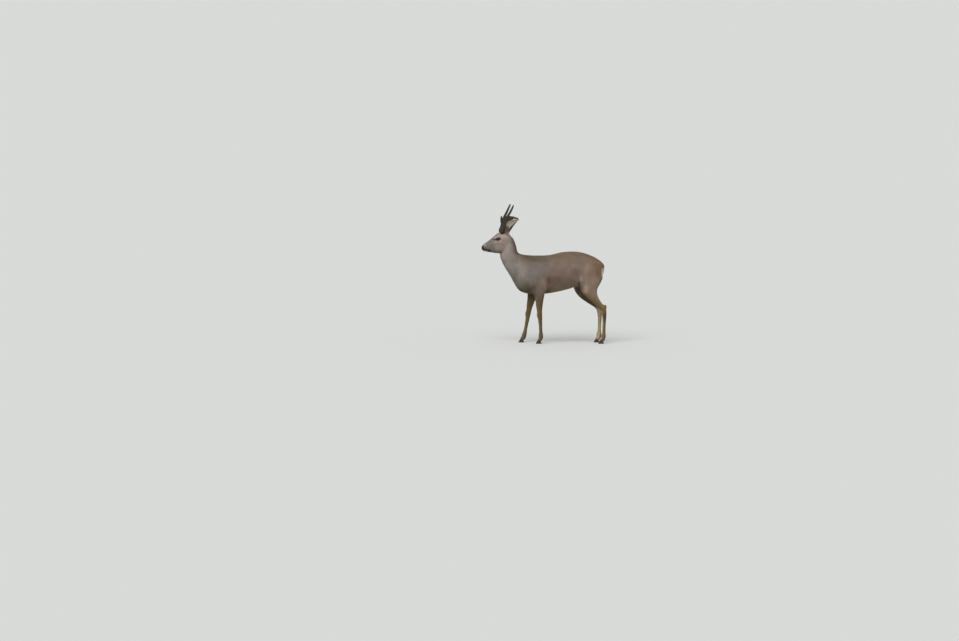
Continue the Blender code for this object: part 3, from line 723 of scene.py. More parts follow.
# %% Eyeballs
CORNEA_BULGE = 0.9 * MM
LID_GAP = 0.2 * MM
BALL_SEGMENTS, BALL_RINGS = 56, 36
eyeballs = {}
for side, sign in SIDES.items():
    centre = middle_of(f"eye_{side}")
    aim = Vector(from_head(EYE_AIM * [1.0, sign, 1.0]) - from_head(np.zeros(3)))
    bpy.ops.object.select_all(action="DESELECT")
    bpy.ops.mesh.primitive_uv_sphere_add(
        segments=BALL_SEGMENTS,
        ring_count=BALL_RINGS,
        radius=EYE_RADIUS - LID_GAP,
        location=centre,
        rotation=aim.to_track_quat("Z", "Y").to_euler(),
    )
    ball = bpy.context.active_object
    ball.name = f"eyeball_{side}"
    bpy.ops.object.transform_apply(location=True, rotation=True, scale=True)
    reach = (points_of(ball) - np.array(centre)) @ np.array(aim)
    ball.data.vertices.foreach_set("select", reach > reach.max() - 0.01 * MM)
    for parts in (ball.data.polygons, ball.data.edges):
        parts.foreach_set("select", np.zeros(len(parts), bool))
    bpy.ops.object.mode_set(mode="EDIT")
    bpy.ops.mesh.select_mode(type="VERT")
    bpy.ops.transform.translate(
        value=aim * CORNEA_BULGE,
        use_proportional_edit=True,
        proportional_edit_falloff="SMOOTH",
        proportional_size=0.85 * EYE_RADIUS,
    )
    bpy.ops.object.mode_set(mode="OBJECT")
    ball.data.shade_smooth()
    away = mirrored(to_head(points_of(ball))) - EYE_MIDDLE
    flat = np.stack([away @ LID_LONG, away @ LID_UP], axis=1) / EYE_RADIUS
    front = ball.data.uv_layers.new(name="front", do_init=False)
    front.data.foreach_set("uv", flat[read(ball.data.loops, "vertex_index", 1, int)].ravel())
    eyeballs[side] = ball
    print(ball.name, len(ball.data.polygons), "faces")


# %% [markdown]
# ## Antlers in velvet
#
# Growing antlers wear a skin of short, dense hair, and are thick and blunt. The beam and tines of one
# side are swollen until they overlap, cast as one closed surface by a voxel remesh, smoothed, and
# given low knobs that grow stronger towards the base.

# %% Antlers
VELVET_GRAIN = 1.5 * MM
KNOB, FINE_KNOB, FURROW = 0.55 * MM, 0.25 * MM, 0.25 * MM
BASE_KNOB = 0.45 * MM  # how much higher the fine knobs get at the base
VELVET_SUNK = 1.2 * MM
velvets = {}
for side in SIDES:
    parts = [f"antler_{side}_{part}" for part in ("beam", "top_tine", "front_tine", "rear_tine")]
    velvet = joined_copy(parts, f"antler_{side}_velvet")
    modify(velvet, "DISPLACE", strength=SWELL, mid_level=0.0)
    modify(velvet, "REMESH", mode="VOXEL", voxel_size=VELVET_GRAIN)
    modify(velvet, "SMOOTH", factor=0.5, iterations=9)
    places = points_of(velvet)
    base = ease(BETWEEN_EYES.z + 0.13, BETWEEN_EYES.z + 0.05, places[:, 2])
    relief = KNOB * ripple(places, 0.016, 21) + (FINE_KNOB + BASE_KNOB * base) * ripple(places, 0.007, 22)
    relief += FURROW * ripple(places * [1.0, 1.0, 0.22], 0.006, 23)
    move_points(velvet, places + normals_of(velvet) * (relief - VELVET_SUNK)[:, None])
    velvet.data.shade_smooth()
    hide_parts(*parts)
    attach(velvet, "root")
    velvets[side] = velvet
    print(velvet.name, len(velvet.data.polygons), "faces")


# %% [markdown]
# ## Claws
#
# Each foot has two walking claws and two small dewclaws behind them, all of dark horn. A fine remesh
# and a little smoothing round their edges as wear does, and the soles are pressed flat again.

# %% Claws
CLAW_GRAIN = 1.25 * MM
# share of the way from toe to heel, and how high the claw's top edge is there, in mm
CLAW_TOP = np.array([(0.05, 6.0), (0.34, 27.5), (0.50, 27.0), (0.93, 20.0)])
TOE_END, HEEL_END = CLAW_TOP[0, 0], CLAW_TOP[-1, 0]
DEWCLAW_MOVE = np.array([-6.5, 0.0, 3.0]) * MM
DEWCLAW_SCALE = np.array([0.88, 0.80, 1.0])
RING_HEIGHT, RING_STEP = 0.12 * MM, 2.6 * MM


def shape_claws(places, foot):
    """Gives the claws a sloping front wall and a top that falls to the heel, and seats the dewclaws."""
    small = places[:, 2] > 0.033
    on_right = np.where(places[:, 1:2] > foot["middle"], 1.0, 0.0)
    seats = sorted(foot["dewclaws"], key=lambda middle: middle[1])
    middles = seats[0] + (seats[1] - seats[0]) * on_right
    seated = middles + (places - middles) * DEWCLAW_SCALE + DEWCLAW_MOVE
    along = ((places[:, 0] - foot["toe"]) / (foot["heel"] - foot["toe"])).clip(TOE_END, HEEL_END)
    bins = np.linspace(TOE_END, HEEL_END, 41)
    tops = [places[~small & (np.abs(along - at) < 0.02), 2].max(initial=0.004) for at in bins]
    wanted = np.interp(along, CLAW_TOP[:, 0], CLAW_TOP[:, 1] * MM)
    places[:, 2] *= wanted / np.interp(along, bins, tops)
    return np.where(small[:, None], seated, places)


hooves = []
for side in SIDES:
    for foot in ("foreleg", "hindleg"):
        kinds = [f"{kind}_{place}" for kind in ("claw", "dewclaw") for place in ("inner", "outer")]
        parts = [f"{foot}_{side}_{kind}" for kind in kinds]
        horn = joined_copy(parts, f"claws_{foot}_{side}")
        modify(horn, "REMESH", mode="VOXEL", voxel_size=CLAW_GRAIN)
        modify(horn, "SMOOTH", factor=0.5, iterations=4)
        move_points(horn, shape_claws(points_of(horn), FEET[foot, side]))
        modify(horn, "SMOOTH", factor=0.5, iterations=5)
        places = points_of(horn)
        rings = RING_HEIGHT * np.sin((places[:, 2] + 0.25 * places[:, 0]) * 2 * math.pi / RING_STEP)
        places += normals_of(horn) * (rings * ease(0.002, 0.006, places[:, 2]))[:, None]
        places[:, 2] = np.maximum(places[:, 2], 0.0)
        move_points(horn, places)
        horn.data.shade_smooth()
        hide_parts(*parts)
        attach(horn, "root")
        hooves.append(horn)
print("claws:", sum(len(horn.data.polygons) for horn in hooves), "faces")

# %% [markdown]
# ## Colours and markings
#
# All markings, and the painted light and shade laid in with them under the chest and jaw, in the
# creases and on the insides of the legs, are functions of the place on the body, so the skin and the
# hair that grows there get the same colour. They are kept as a colour attribute on the points of each mesh.

# %% Colours and markings
GREY = np.array([0.178, 0.152, 0.133])
NECK_GREY = np.array([0.268, 0.234, 0.206])
NECK_PALE = np.array([0.400, 0.345, 0.290])
FLANK = np.array([0.200, 0.145, 0.113])
BACK = np.array([0.172, 0.119, 0.072])
RUFOUS = np.array([0.215, 0.130, 0.066])
THIGH = np.array([0.290, 0.215, 0.155])
BELLY = np.array([0.225, 0.180, 0.095])
CHEST_SHADE = np.array([0.095, 0.074, 0.045])
WHITE = np.array([0.700, 0.640, 0.540])
PATCH_EDGE = np.array([0.400, 0.240, 0.105])
LEG_BROWN = np.array([0.125, 0.083, 0.037])
HIND_BROWN = np.array([0.160, 0.106, 0.046])
LEG_PALE = np.array([0.300, 0.222, 0.135])
CANNON_PALE = np.array([0.420, 0.345, 0.185])
# painted shade, laid in the crease before the thigh, the armpits and on the insides of the thighs
FOLD_SHADE = np.array([0.062, 0.046, 0.023])
BRUSH = np.array([0.060, 0.042, 0.024])
CHEEK = np.array([0.325, 0.252, 0.212])
BROW = np.array([0.380, 0.300, 0.250])
BRIDGE = np.array([0.140, 0.116, 0.092])
MUZZLE = np.array([0.175, 0.158, 0.134])
BLACK = np.array([0.014, 0.012, 0.010])
EAR_PALE = np.array([0.400, 0.335, 0.270])
EAR_BACK = np.array([0.130, 0.108, 0.088])
EAR_DARK = np.array([0.036, 0.027, 0.018])


def dab(colour, places, dabs):
    """Lays soft dabs of paint over the colour: each has its tint, share, centre and reach."""
    for tint, share, centre, reach in dabs:
        colour = over(colour, tint, share * blob(places, centre, reach))
    return colour


# %% Paint for the ears


def ear_place(h):
    """Where a place lies on the ear: t along it, u across it in metres, d out of its cup."""
    away = mirrored(h) - np.array(EAR_ROOT)
    t = away @ np.array(ear_along) / ear_length
    arch = EAR_ARCH * np.sin(math.pi * np.clip(t, 0, 1))
    return t, away @ np.array(ear_across) - arch, away @ np.array(ear_out)


def ear_part(h):
    """1 on the ear that stands clear of the skull."""
    t, u, d = ear_place(h)
    return ease(0.16, 0.26, t) * ease(0.055, 0.045, np.abs(u)) * ease(0.045, 0.035, np.abs(d))


def ear_inside(h, out):
    """1 on the hollow side of the ear, 0 on its back."""
    return ease(-0.2, 0.3, unit(out * side_flip(h)) @ np.array(ear_out))


def paint_ear(h, out):
    """Pale inside and grey behind, with a dark rim, tip and root."""
    t, u, _ = ear_place(h)
    ear = over(np.tile(EAR_BACK, (len(h), 1)), EAR_PALE, ear_inside(h, out))
    share = u / np.maximum(0.004, ear_half_width(np.clip(t, 0.0, 1.0)))
    towards_tip = ease(0.25, 0.85, t)
    rear_rim = ease(-0.20 - 0.55 * towards_tip, -0.62 - 0.30 * towards_tip, share)
    front_rim = 0.5 * ease(0.80, 1.0, share)
    ear = over(ear, EAR_DARK, np.clip(rear_rim + front_rim + ease(0.88, 1.0, t), 0, 1))
    return over(ear, EAR_DARK, 0.85 * ease(0.40, 0.24, t))


# %% Paint for the head
TEAR_DUCT = EYE_MIDDLE + LID_LONG * 17.0 * MM + np.array([0.0, -0.004, 0.0])
FIRST_DABS = [  # tint, share, centre and reach
    (BROW * 1.08, 0.90, (0.022, 0.036, 0.018), (0.034, 0.034, 0.017)),  # behind the brow
    (BROW, 0.45, (-0.020, 0.036, 0.010), (0.016, 0.020, 0.010)),  # in front of the brow
    (BRIDGE * 1.15, 0.55, (0.012, 0.040, -0.040), (0.040, 0.040, 0.009)),  # across the cheek
    (BRIDGE * 0.75, 0.8, (0.030, 0.000, 0.060), (0.030, 0.026, 0.026)),  # between the antlers
]
LAST_DABS = [
    (BLACK * 1.6, 0.9, TEAR_DUCT, (0.0085, 0.008, 0.0032)),
    (BLACK * 1.7, 0.95, (-0.031, 0.030, -0.003), (0.034, 0.022, 0.0072)),  # stripe before the eye
    (NECK_PALE * 1.1, 0.90, (0.100, 0.034, -0.040), (0.020, 0.034, 0.044)),  # behind the jaw
    (EAR_DARK * 1.8, 0.90, (0.078, 0.032, 0.063), (0.034, 0.032, 0.017)),  # foot of the ear
]
NOSTRIL_SPOT = (WHITE, 0.50, (-0.103, 0.018, -0.046), (0.009, 0.010, 0.010))


def paint_head(h, out):
    """Cheeks, bridge, muzzle with black smear, white chin, painted shade under the jaw, lids, nose, ears."""
    m = mirrored(h)
    x, y, z = m.T
    slope = z + 0.50 * x  # rises from the jaw towards the crown, square to the face
    top = ease(0.016, 0.030, slope + 0.35 * (0.03 - y))
    colour = over(np.tile(CHEEK, (len(h), 1)), BRIDGE, top * ease(0.02, -0.03, x))
    colour = dab(colour, m, FIRST_DABS)
    colour = over(colour, MUZZLE, ease(-0.020, -0.062, x + 0.25 * z))
    colour = dab(colour, m, [NOSTRIL_SPOT])
    above = above_mouth(m)
    chin = ease(0.000, -0.003, above) * ease(-0.070, -0.092, x)
    colour = over(colour, WHITE * 0.95, chin)
    # painted shade under the jaw, where the head faces the ground
    shade_under_jaw = ease(-0.2, -0.8, out[:, 2]) * ease(-0.07, -0.03, x) * ease(-0.075, -0.090, z)
    colour = over(colour, CHEST_SHADE * 1.2, 0.75 * shade_under_jaw)
    smear_half = 7.5 * MM + 5.0 * MM * ease(-0.080, -0.108, x)
    smear = bell(above - 3.0 * MM, smear_half) * ease(-0.052, -0.066, x)
    colour = over(colour, BLACK * 1.6, np.clip(1.25 * smear, 0, 1) * (1.0 - 0.85 * chin))
    colour = over(colour, BLACK, leather_part(h))
    colour = over(colour, BLACK * 1.3, ease(1.42, 1.12, lid_share(m)[0]))
    colour = dab(colour, m, LAST_DABS)
    return over(colour, paint_ear(h, out), ear_part(h))


# %% Paint for the trunk


# partly the coat's own colour, partly painted light and shade: the darker spots under the chest, between the
# forelegs and in the crease before the thigh are painted shade, and the paler ones on the loin and haunch
# are partly painted light
TRUNK_TINTS_LIGHT_AND_SHADE = (  # where the trunk is darker or paler, how far that reaches, and how much
    ((-0.100, 0.060, 0.672), (0.150, 0.200, 0.046), (0.70, 0.65, 0.60)),
    ((0.070, 0.090, 0.520), (0.110, 0.080, 0.050), (0.76, 0.64, 0.60)),
    ((-0.150, 0.070, 0.470), (0.070, 0.090, 0.050), (0.58, 0.54, 0.46)),
    ((-0.236, 0.030, 0.550), (0.032, 0.060, 0.060), (0.58, 0.56, 0.50)),
    ((0.318, 0.080, 0.600), (0.034, 0.080, 0.070), (1.36, 1.30, 1.26)),
    ((0.215, 0.070, 0.625), (0.040, 0.080, 0.030), (1.26, 1.22, 1.18)),
    ((0.412, 0.060, 0.570), (0.026, 0.060, 0.050), (0.70, 0.66, 0.62)),
    ((0.318, 0.090, 0.448), (0.026, 0.060, 0.060), (1.95, 1.95, 1.75)),
    ((0.281, 0.090, 0.520), (0.012, 0.070, 0.034), (1.42, 1.40, 1.36)),
    ((0.000, 0.100, 0.462), (0.016, 0.060, 0.034), (1.50, 1.22, 1.05)),
    ((-0.028, 0.100, 0.505), (0.013, 0.060, 0.026), (1.22, 1.10, 1.00)),
    ((-0.012, 0.100, 0.552), (0.010, 0.050, 0.018), (0.72, 0.68, 0.66)),
    ((-0.322, 0.040, 0.722), (0.050, 0.060, 0.060), (1.38, 1.36, 1.34)),
    ((-0.172, 0.050, 0.676), (0.060, 0.200, 0.040), (0.78, 0.74, 0.70)),
    ((0.024, 0.100, 0.508), (0.022, 0.060, 0.034), (0.70, 0.60, 0.58)),
    ((-0.078, 0.100, 0.458), (0.040, 0.070, 0.032), (0.62, 0.57, 0.52)),
    ((-0.195, 0.060, 0.505), (0.036, 0.080, 0.040), (0.74, 0.72, 0.66)),
    ((0.420, 0.070, 0.590), (0.030, 0.060, 0.044), (0.86, 0.84, 0.82)),
    ((-0.112, 0.080, 0.440), (0.040, 0.060, 0.034), (0.60, 0.56, 0.52)),
    ((0.272, 0.070, 0.480), (0.014, 0.060, 0.024), (0.42, 0.40, 0.36)),
)


CHEEK_EDGE = [(NECK_PALE, 0.85, (-0.285, 0.045, 0.790), (0.026, 0.035, 0.050))]
ELBOW_DABS = [
    (THIGH, 0.55, (-0.016, 0.090, 0.490), (0.022, 0.060, 0.042)),
    (THIGH * 1.1, 0.50, (-0.108, 0.080, 0.412), (0.013, 0.060, 0.026)),
]
# painted shade in the crease between the flank and the thigh
FLANK_FOLD_SHADE = [(FOLD_SHADE, 0.95, (0.270, 0.080, 0.460), (0.021, 0.070, 0.034))]


def paint_trunk(colour, x, y, z, out):
    """Neck, chest, flanks, back and belly, with painted shade under the chest and in the crease before the
    thigh.
    """
    beside = np.stack([x, np.abs(y), z], axis=1)
    colour = over(colour, GREY, ease(0.08, -0.08, x - 0.45 * (z - 0.56)))
    colour = over(colour, NECK_GREY, ease(-0.10, -0.20, x))
    colour = dab(colour, beside, CHEEK_EDGE)
    colour = over(colour, RUFOUS, 0.6 * ease(0.28, 0.42, x) * ease(0.45, 0.55, z))
    colour = over(colour, BACK, 0.8 * ease(0.35, 0.95, out[:, 2]) * ease(0.55, 0.66, z))
    nape = ease(0.2, 0.8, out[:, 0]) * ease(0.66, 0.74, z) * ease(-0.08, -0.16, x)
    colour = over(colour, BACK * 0.6, 0.85 * nape)
    under = ease(-0.25, -0.85, out[:, 2]) * ease(0.62, 0.50, z)
    colour = over(colour, BELLY, 0.8 * under * ease(-0.12, 0.0, x))
    colour = dab(colour, beside, ELBOW_DABS)
    # painted light and shade, together with tints of the coat
    for place, reach, change in TRUNK_TINTS_LIGHT_AND_SHADE:
        colour = over(colour, colour * np.array(change), blob(beside, place, reach))
    colour = dab(colour, beside, FLANK_FOLD_SHADE)
    below = np.maximum(ease(0.0, -0.7, out[:, 2]), ease(0.485, 0.435, z) * ease(-0.115, -0.14, x))
    return over(colour, CHEST_SHADE, 0.9 * below * ease(0.56, 0.48, z) * ease(0.08, 0.0, x))


# %% Paint for the legs


def paint_legs(colour, x, y, z, out):
    """Brown legs: paler in front, the hind ones with a dark gland brush and pale, hidden insides low down,
    and painted shade in the armpits, on the insides of thighs and upper forelegs, and on the gaskins' front.
    """
    hind = ease(0.24, 0.30, x)
    fore = 1.0 - hind
    legs = ease(0.44, 0.34, z)
    forward, backward = ease(0.2, 0.9, -out[:, 0]), ease(0.2, 0.8, out[:, 0])
    sideways = out[:, 1] * np.sign(y)
    outer, inner = ease(0.1, 0.8, sideways), ease(0.2, 0.8, -sideways) * (np.abs(y) > 0.01)
    gaskin = hind * ease(0.275, 0.30, z) * ease(0.46, 0.38, z)
    thigh = ease(0.30, 0.40, x) * ease(0.58, 0.48, z) * ease(0.34, 0.42, z)
    cannon = 0.90 * legs * np.maximum(0.7 * forward, inner) * hind * ease(0.30, 0.25, z)
    # painted shade on the insides of the hind thighs and in the armpits
    inner_thigh_shade = inner * ease(0.275, 0.31, z) * ease(0.56, 0.46, z) * hind
    armpit_shade = 0.75 * ease(0.33, 0.40, z) * ease(0.52, 0.46, z) * inner * fore
    gland = 0.75 * (ease(0.175, 0.195, z) * ease(0.245, 0.225, z) * hind)
    layers = [
        (THIGH, 0.8 * thigh),
        (LEG_BROWN, legs * fore),
        (HIND_BROWN, legs * hind),
        (LEG_PALE, 0.30 * legs * forward * fore),
        (CANNON_PALE, cannon),
        (LEG_PALE, 0.70 * gaskin * backward),
        # painted shade on the front of the gaskin
        (HIND_BROWN * 0.7, 0.55 * gaskin * forward),
        (FOLD_SHADE, 0.85 * inner_thigh_shade * ease(0.47, 0.41, x)),
        # painted shade on the insides of the upper forelegs
        (LEG_BROWN * 1.1, 0.6 * ease(0.52, 0.40, z) * inner * fore),
        (FOLD_SHADE, armpit_shade),
        (HIND_BROWN * 0.6, 0.7 * hind * ease(0.27, 0.24, z) * backward),
        (BRUSH, gland * np.maximum(outer, backward) * (1.0 - 0.7 * forward)),
        (BRUSH * 1.3, 0.6 * ease(0.040, 0.026, z)),
    ]
    for tint, share in layers:
        colour = over(colour, tint, share)
    return colour


# %% Paint for the whole animal
WANDER, WANDER_STEP = 0.012, 0.09  # how far the edges of the colours wander, and over what length


def paint_body(places, out):
    waves = np.stack([ripple(places, WANDER_STEP, k) for k in range(3)], axis=1)
    x, y, z = (places + WANDER * waves).T
    colour = np.tile(FLANK, (len(places), 1))
    colour = paint_trunk(colour, x, y, z, out)
    colour = paint_legs(colour, x, y, z, out)
    patch = rump_part(places)
    edge = np.clip(4.0 * patch * (1.0 - patch), 0, 1)
    edge = np.maximum(edge, patch * ease(0.18, 0.55, np.abs(out[:, 1])))
    return over(over(colour, WHITE, patch), PATCH_EDGE, 0.85 * edge)


def coat_colour(places, out):
    """The coat's colour at each place on the skin, with its outward direction."""
    head = paint_head(to_head(places), out @ TURN_ROWS.T)
    colour = over(paint_body(places, out), head, head_part(places))
    cloud = 1.0 + 0.08 * ripple(places, 0.06, 5) + 0.06 * ripple(places, 0.018, 6)
    return colour * cloud[:, None]


def keep_colour(thing, name, colour):
    layer = thing.data.color_attributes.new(name=name, type="FLOAT_COLOR", domain="POINT")
    layer.data.foreach_set("color", np.hstack([colour, np.ones((len(colour), 1))]).ravel())


keep_colour(skin, "coat", coat_colour(points_of(skin), normals_of(skin)))
print("skin painted on", len(skin.data.vertices), "points")

# %% [markdown]
# ## Finishes
#
# Every finish is worked out by nodes, with no image. Effects that more than one finish needs are node
# groups: streaks that run along the hair, and a mottle of soft clouds with a fine grain.

# %% Helpers for finishes


def feed(tree, step, inputs):
    """Gives each named or numbered input of a node its value, or links it to a socket."""
    for socket, value in dict(inputs).items():
        if isinstance(value, bpy.types.NodeSocket):
            tree.links.new(value, step.inputs[socket])
        else:
            step.inputs[socket].default_value = value


def add(tree, kind, inputs=(), **settings):
    """Adds a node with its settings and inputs."""
    step = tree.nodes.new("ShaderNode" + kind)
    for setting, value in settings.items():
        setattr(step, setting, value)
    feed(tree, step, inputs)
    return step


def calc(tree, operation, *values):
    return add(tree, "Math", enumerate(values), operation=operation).outputs[0]


def vector(tree, operation, *values):
    return add(tree, "VectorMath", enumerate(values), operation=operation).outputs[0]


def length(tree, spot):
    return add(tree, "VectorMath", {0: spot}, operation="LENGTH").outputs["Value"]


def noise(tree, place, scale, detail):
    return add(tree, "TexNoise", {"Vector": place, "Scale": scale, "Detail": detail}).outputs["Fac"]


def remap(tree, value, start, end, low=0.0, high=1.0, **settings):
    """Stretches the values between start and end over the range from low to high."""
    ends = {"Value": value, "From Min": start, "From Max": end, "To Min": low, "To Max": high}
    return add(tree, "MapRange", ends, **settings).outputs[0]


# %% Helpers for materials and groups


def new_finish(name, roughness, specular, **plain):
    """A material, its node tree and its shader, with the shader's plain values set."""
    finish = bpy.data.materials.new(name)
    finish.use_nodes = True
    tree = finish.node_tree
    shader = tree.nodes["Principled BSDF"]
    feed(tree, shader, {"Roughness": roughness, "Specular IOR Level": specular})
    feed(tree, shader, {socket.replace("_", " "): value for socket, value in plain.items()})
    return finish, tree, shader


def object_place(tree):
    return add(tree, "TexCoord").outputs["Object"]


def start_group(name, inputs, outputs):
    tree = bpy.data.node_groups.new(name, "ShaderNodeTree")
    for label, kind in inputs.items():
        tree.interface.new_socket(label, in_out="INPUT", socket_type="NodeSocket" + kind)
    for label, kind in outputs.items():
        tree.interface.new_socket(label, in_out="OUTPUT", socket_type="NodeSocket" + kind)
    return tree, tree.nodes.new("NodeGroupInput").outputs, tree.nodes.new("NodeGroupOutput").inputs


def use_group(tree, group, **inputs):
    step = tree.nodes.new("ShaderNodeGroup")
    step.node_tree = group
    feed(tree, step, inputs)
    return step.outputs


def paint(tree, shader, colour, shade, height, distance, strength):
    """Feeds the shader a colour times a shade, and the bumps that a height gives."""
    tree.links.new(vector(tree, "MULTIPLY", colour, shade), shader.inputs["Base Color"])
    step = add(tree, "Bump", {"Height": height, "Distance": distance, "Strength": strength})
    tree.links.new(step.outputs["Normal"], shader.inputs["Normal"])


# %% Streaks along the hair
STREAK_STEP = 0.75 * MM
STREAK_SCALE = 1100.0  # per metre
STREAK_RANGE = (2.0, 3.0)  # of the five specks' sum
streaks, given, result = start_group(
    "hair_streaks", {"Place": "Vector", "Lie": "Vector"}, {"Shade": "Float", "Height": "Float"}
)
total = None
for k in range(-2, 3):
    moved = vector(streaks, "MULTIPLY", given["Lie"], (k * STREAK_STEP,) * 3)
    speck = noise(streaks, vector(streaks, "ADD", given["Place"], moved), STREAK_SCALE, 1.0)
    total = speck if total is None else calc(streaks, "ADD", total, speck)
streaks.links.new(remap(streaks, total, *STREAK_RANGE), result["Height"])
streaks.links.new(remap(streaks, total, *STREAK_RANGE, 0.72, 1.24), result["Shade"])
print("group", streaks.name)

# %% Mottle and fine grain
mottle, given, result = start_group(
    "mottle", {"Place": "Vector", "Clouds": "Float", "Grain": "Float"}, {"Shade": "Float", "Height": "Float"}
)
clouds = noise(mottle, given["Place"], given["Clouds"], 4.0)
mottle.links.new(remap(mottle, clouds, 0.3, 0.7, 0.7, 1.3), result["Shade"])
mottle.links.new(noise(mottle, given["Place"], given["Grain"], 3.0), result["Height"])
print("group", mottle.name)

# %% [markdown]
# ## Skin finish
#
# Between the tufts the skin itself shows as short, close hair. It takes its colour from the painted
# points, and its streaks run along the lie of the coat, which is kept on the points as well: noise
# is read at five places along the lie and added up, so that each speck is drawn out into a hair.

# %% Skin finish
coat_paint, tree, shader = new_finish("winter_coat_hair", 0.82, 0.2)
tint = add(tree, "Attribute", attribute_name="coat").outputs["Color"]
lie = add(tree, "Attribute", attribute_name="lie").outputs["Vector"]
lines = use_group(tree, streaks, Place=object_place(tree), Lie=lie)
paint(tree, shader, tint, lines["Shade"], lines["Height"], 0.5 * MM, 0.8)
skin.data.materials.append(coat_paint)
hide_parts(*[node for node in FLESH if node != "nose"], "ear_left", "ear_right")
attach(skin, "root")
print("finish", coat_paint.name)

# %% [markdown]
# ## Nose finish
#
# A roe's bare nose is black leather in small domed pebbles, and moist. Voronoi cells give the pebbles,
# rounded by a smooth step from their edges, and the furrows between them get a painted shade, darker
# than the domes. A thin coat over a duller base makes it look moist without a mirror's shine.

# %% Nose finish
PEBBLES = 720.0  # per metre
LEATHER_COLOUR = (0.012, 0.011, 0.010)
nose_paint, tree, shader = new_finish("wet_nose_leather", 0.42, 0.3, Coat_Weight=0.12, Coat_Roughness=0.25)
here = object_place(tree)
patchy = use_group(tree, mottle, Place=here, Clouds=160.0, Grain=2600.0)
cells = add(tree, "TexVoronoi", {"Vector": here, "Scale": PEBBLES}, feature="DISTANCE_TO_EDGE")
domes = remap(tree, cells.outputs["Distance"], 0.0, 0.30, interpolation_type="SMOOTHSTEP")
height = calc(tree, "MULTIPLY_ADD", patchy["Height"], 0.25, domes)
# painted shade in the furrows between the pebbles
tone = calc(tree, "MULTIPLY", remap(tree, domes, 0.0, 1.0, 0.55, 1.15), patchy["Shade"])
paint(tree, shader, LEATHER_COLOUR, tone, height, 0.35 * MM, 0.7)
leather.data.materials.append(nose_paint)
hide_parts("nose")
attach(leather, "root")
print("finish", nose_paint.name, "with", PEBBLES, "pebbles per metre")

# %% [markdown]
# ## Eye finish
#
# The iris is a very dark brown with faint rays, the pupil a level oblong, and a thin brown rim meets
# the lids. The ball's own front map tells how far each place is from the middle, so pupil and iris
# turn with the ball, and a clear coat stands for the wet cornea.

# %% Eye finish
PUPIL_HALF_LENGTH, PUPIL_HALF_HEIGHT = 0.52, 0.30  # as shares of the ball's radius
PUPIL_COLOUR, RIM_COLOUR = (0.002, 0.002, 0.003, 1.0), (0.030, 0.017, 0.012, 1.0)
IRIS_STEPS = ((0.35, (0.010, 0.005, 0.003, 1.0)), (0.70, (0.040, 0.020, 0.009, 1.0)))
eye_paint, tree, shader = new_finish(
    "wet_eye", 0.2, 0.15, Coat_Weight=0.7, Coat_Roughness=0.04, Coat_IOR=1.38
)
spot = add(tree, "UVMap", uv_map="front").outputs[0]
oblong = vector(tree, "MULTIPLY", spot, (1.0 / PUPIL_HALF_LENGTH, 1.0 / PUPIL_HALF_HEIGHT, 0.0))
rays = noise(tree, vector(tree, "NORMALIZE", spot), 14.0, 3.0)
iris = add(tree, "ValToRGB", {"Fac": rays})
for element, (position, tone) in zip(iris.color_ramp.elements, IRIS_STEPS):
    element.position = position
    element.color = tone
pupil = remap(tree, length(tree, oblong), 0.90, 1.10)
rim = remap(tree, length(tree, spot), 0.84, 0.93)
ball_colour = add(tree, "Mix", {0: pupil, 6: PUPIL_COLOUR, 7: iris.outputs[0]}, data_type="RGBA")
whole = add(tree, "Mix", {0: rim, 6: ball_colour.outputs[2], 7: RIM_COLOUR}, data_type="RGBA")
tree.links.new(whole.outputs[2], shader.inputs["Base Color"])
for side, ball in eyeballs.items():
    ball.data.materials.append(eye_paint)
    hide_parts(f"eye_{side}")
    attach(ball, "root")
print("finish", eye_paint.name)

# %% [markdown]
# ## Velvet finish
#
# Velvet is a matt, dark grey-brown fur. A mottle of soft clouds keeps it from one flat tone, its grain
# is a low bump, and a touch of sheen gives the pale edge that fine upright hair has in soft light.

# %% Velvet finish
VELVET_COLOUR = (0.044, 0.036, 0.024)
velvet_paint, tree, shader = new_finish("velvet_hair", 0.85, 0.2, Sheen_Weight=0.12, Sheen_Roughness=0.5)
cloudy = use_group(tree, mottle, Place=object_place(tree), Clouds=70.0, Grain=1500.0)
paint(tree, shader, VELVET_COLOUR, cloudy["Shade"], cloudy["Height"], 0.5 * MM, 0.8)
for velvet in velvets.values():
    velvet.data.materials.append(velvet_paint)
print("finish", velvet_paint.name)

# %% [markdown]
# ## Horn finish
#
# Hoof horn is dark and half matt, grows in fine rings, and is scuffed paler where it meets the ground.
# A wave texture gives the rings, and the height above the ground gives the scuffing.

# %% Horn finish
HORN_COLOUR = (0.030, 0.026, 0.022)
SCUFF_HEIGHT, SCUFF_SHADE = 0.010, 1.9
horn_paint, tree, shader = new_finish("dark_horn", 0.42, 0.4)
here = object_place(tree)
cloudy = use_group(tree, mottle, Place=here, Clouds=220.0, Grain=1800.0)
wave = {"Vector": here, "Scale": 60.0, "Distortion": 1.6, "Detail": 2.0}
ringed = add(tree, "TexWave", wave, bands_direction="Z").outputs["Fac"]
height = calc(tree, "MULTIPLY_ADD", cloudy["Height"], 0.5, ringed)
level = add(tree, "SeparateXYZ", {0: here}).outputs["Z"]
scuffed = remap(tree, level, SCUFF_HEIGHT, 0.0, 1.0, SCUFF_SHADE)
tone = calc(tree, "MULTIPLY", scuffed, cloudy["Shade"])
paint(tree, shader, HORN_COLOUR, tone, height, 0.15 * MM, 0.6)
for horn in hooves:
    horn.data.materials.append(horn_paint)
print("finish", horn_paint.name)

# %% [markdown]
# ## The lie of the coat
#
# Hair points backwards from the nose, down the neck, backwards and a little down along the trunk,
# down the haunches and legs, and outwards from the tail over the white patch. On an ear it runs up
# to the tip. Combing it by hand would take a day, so the direction is a function of the place,
# flattened onto the skin.

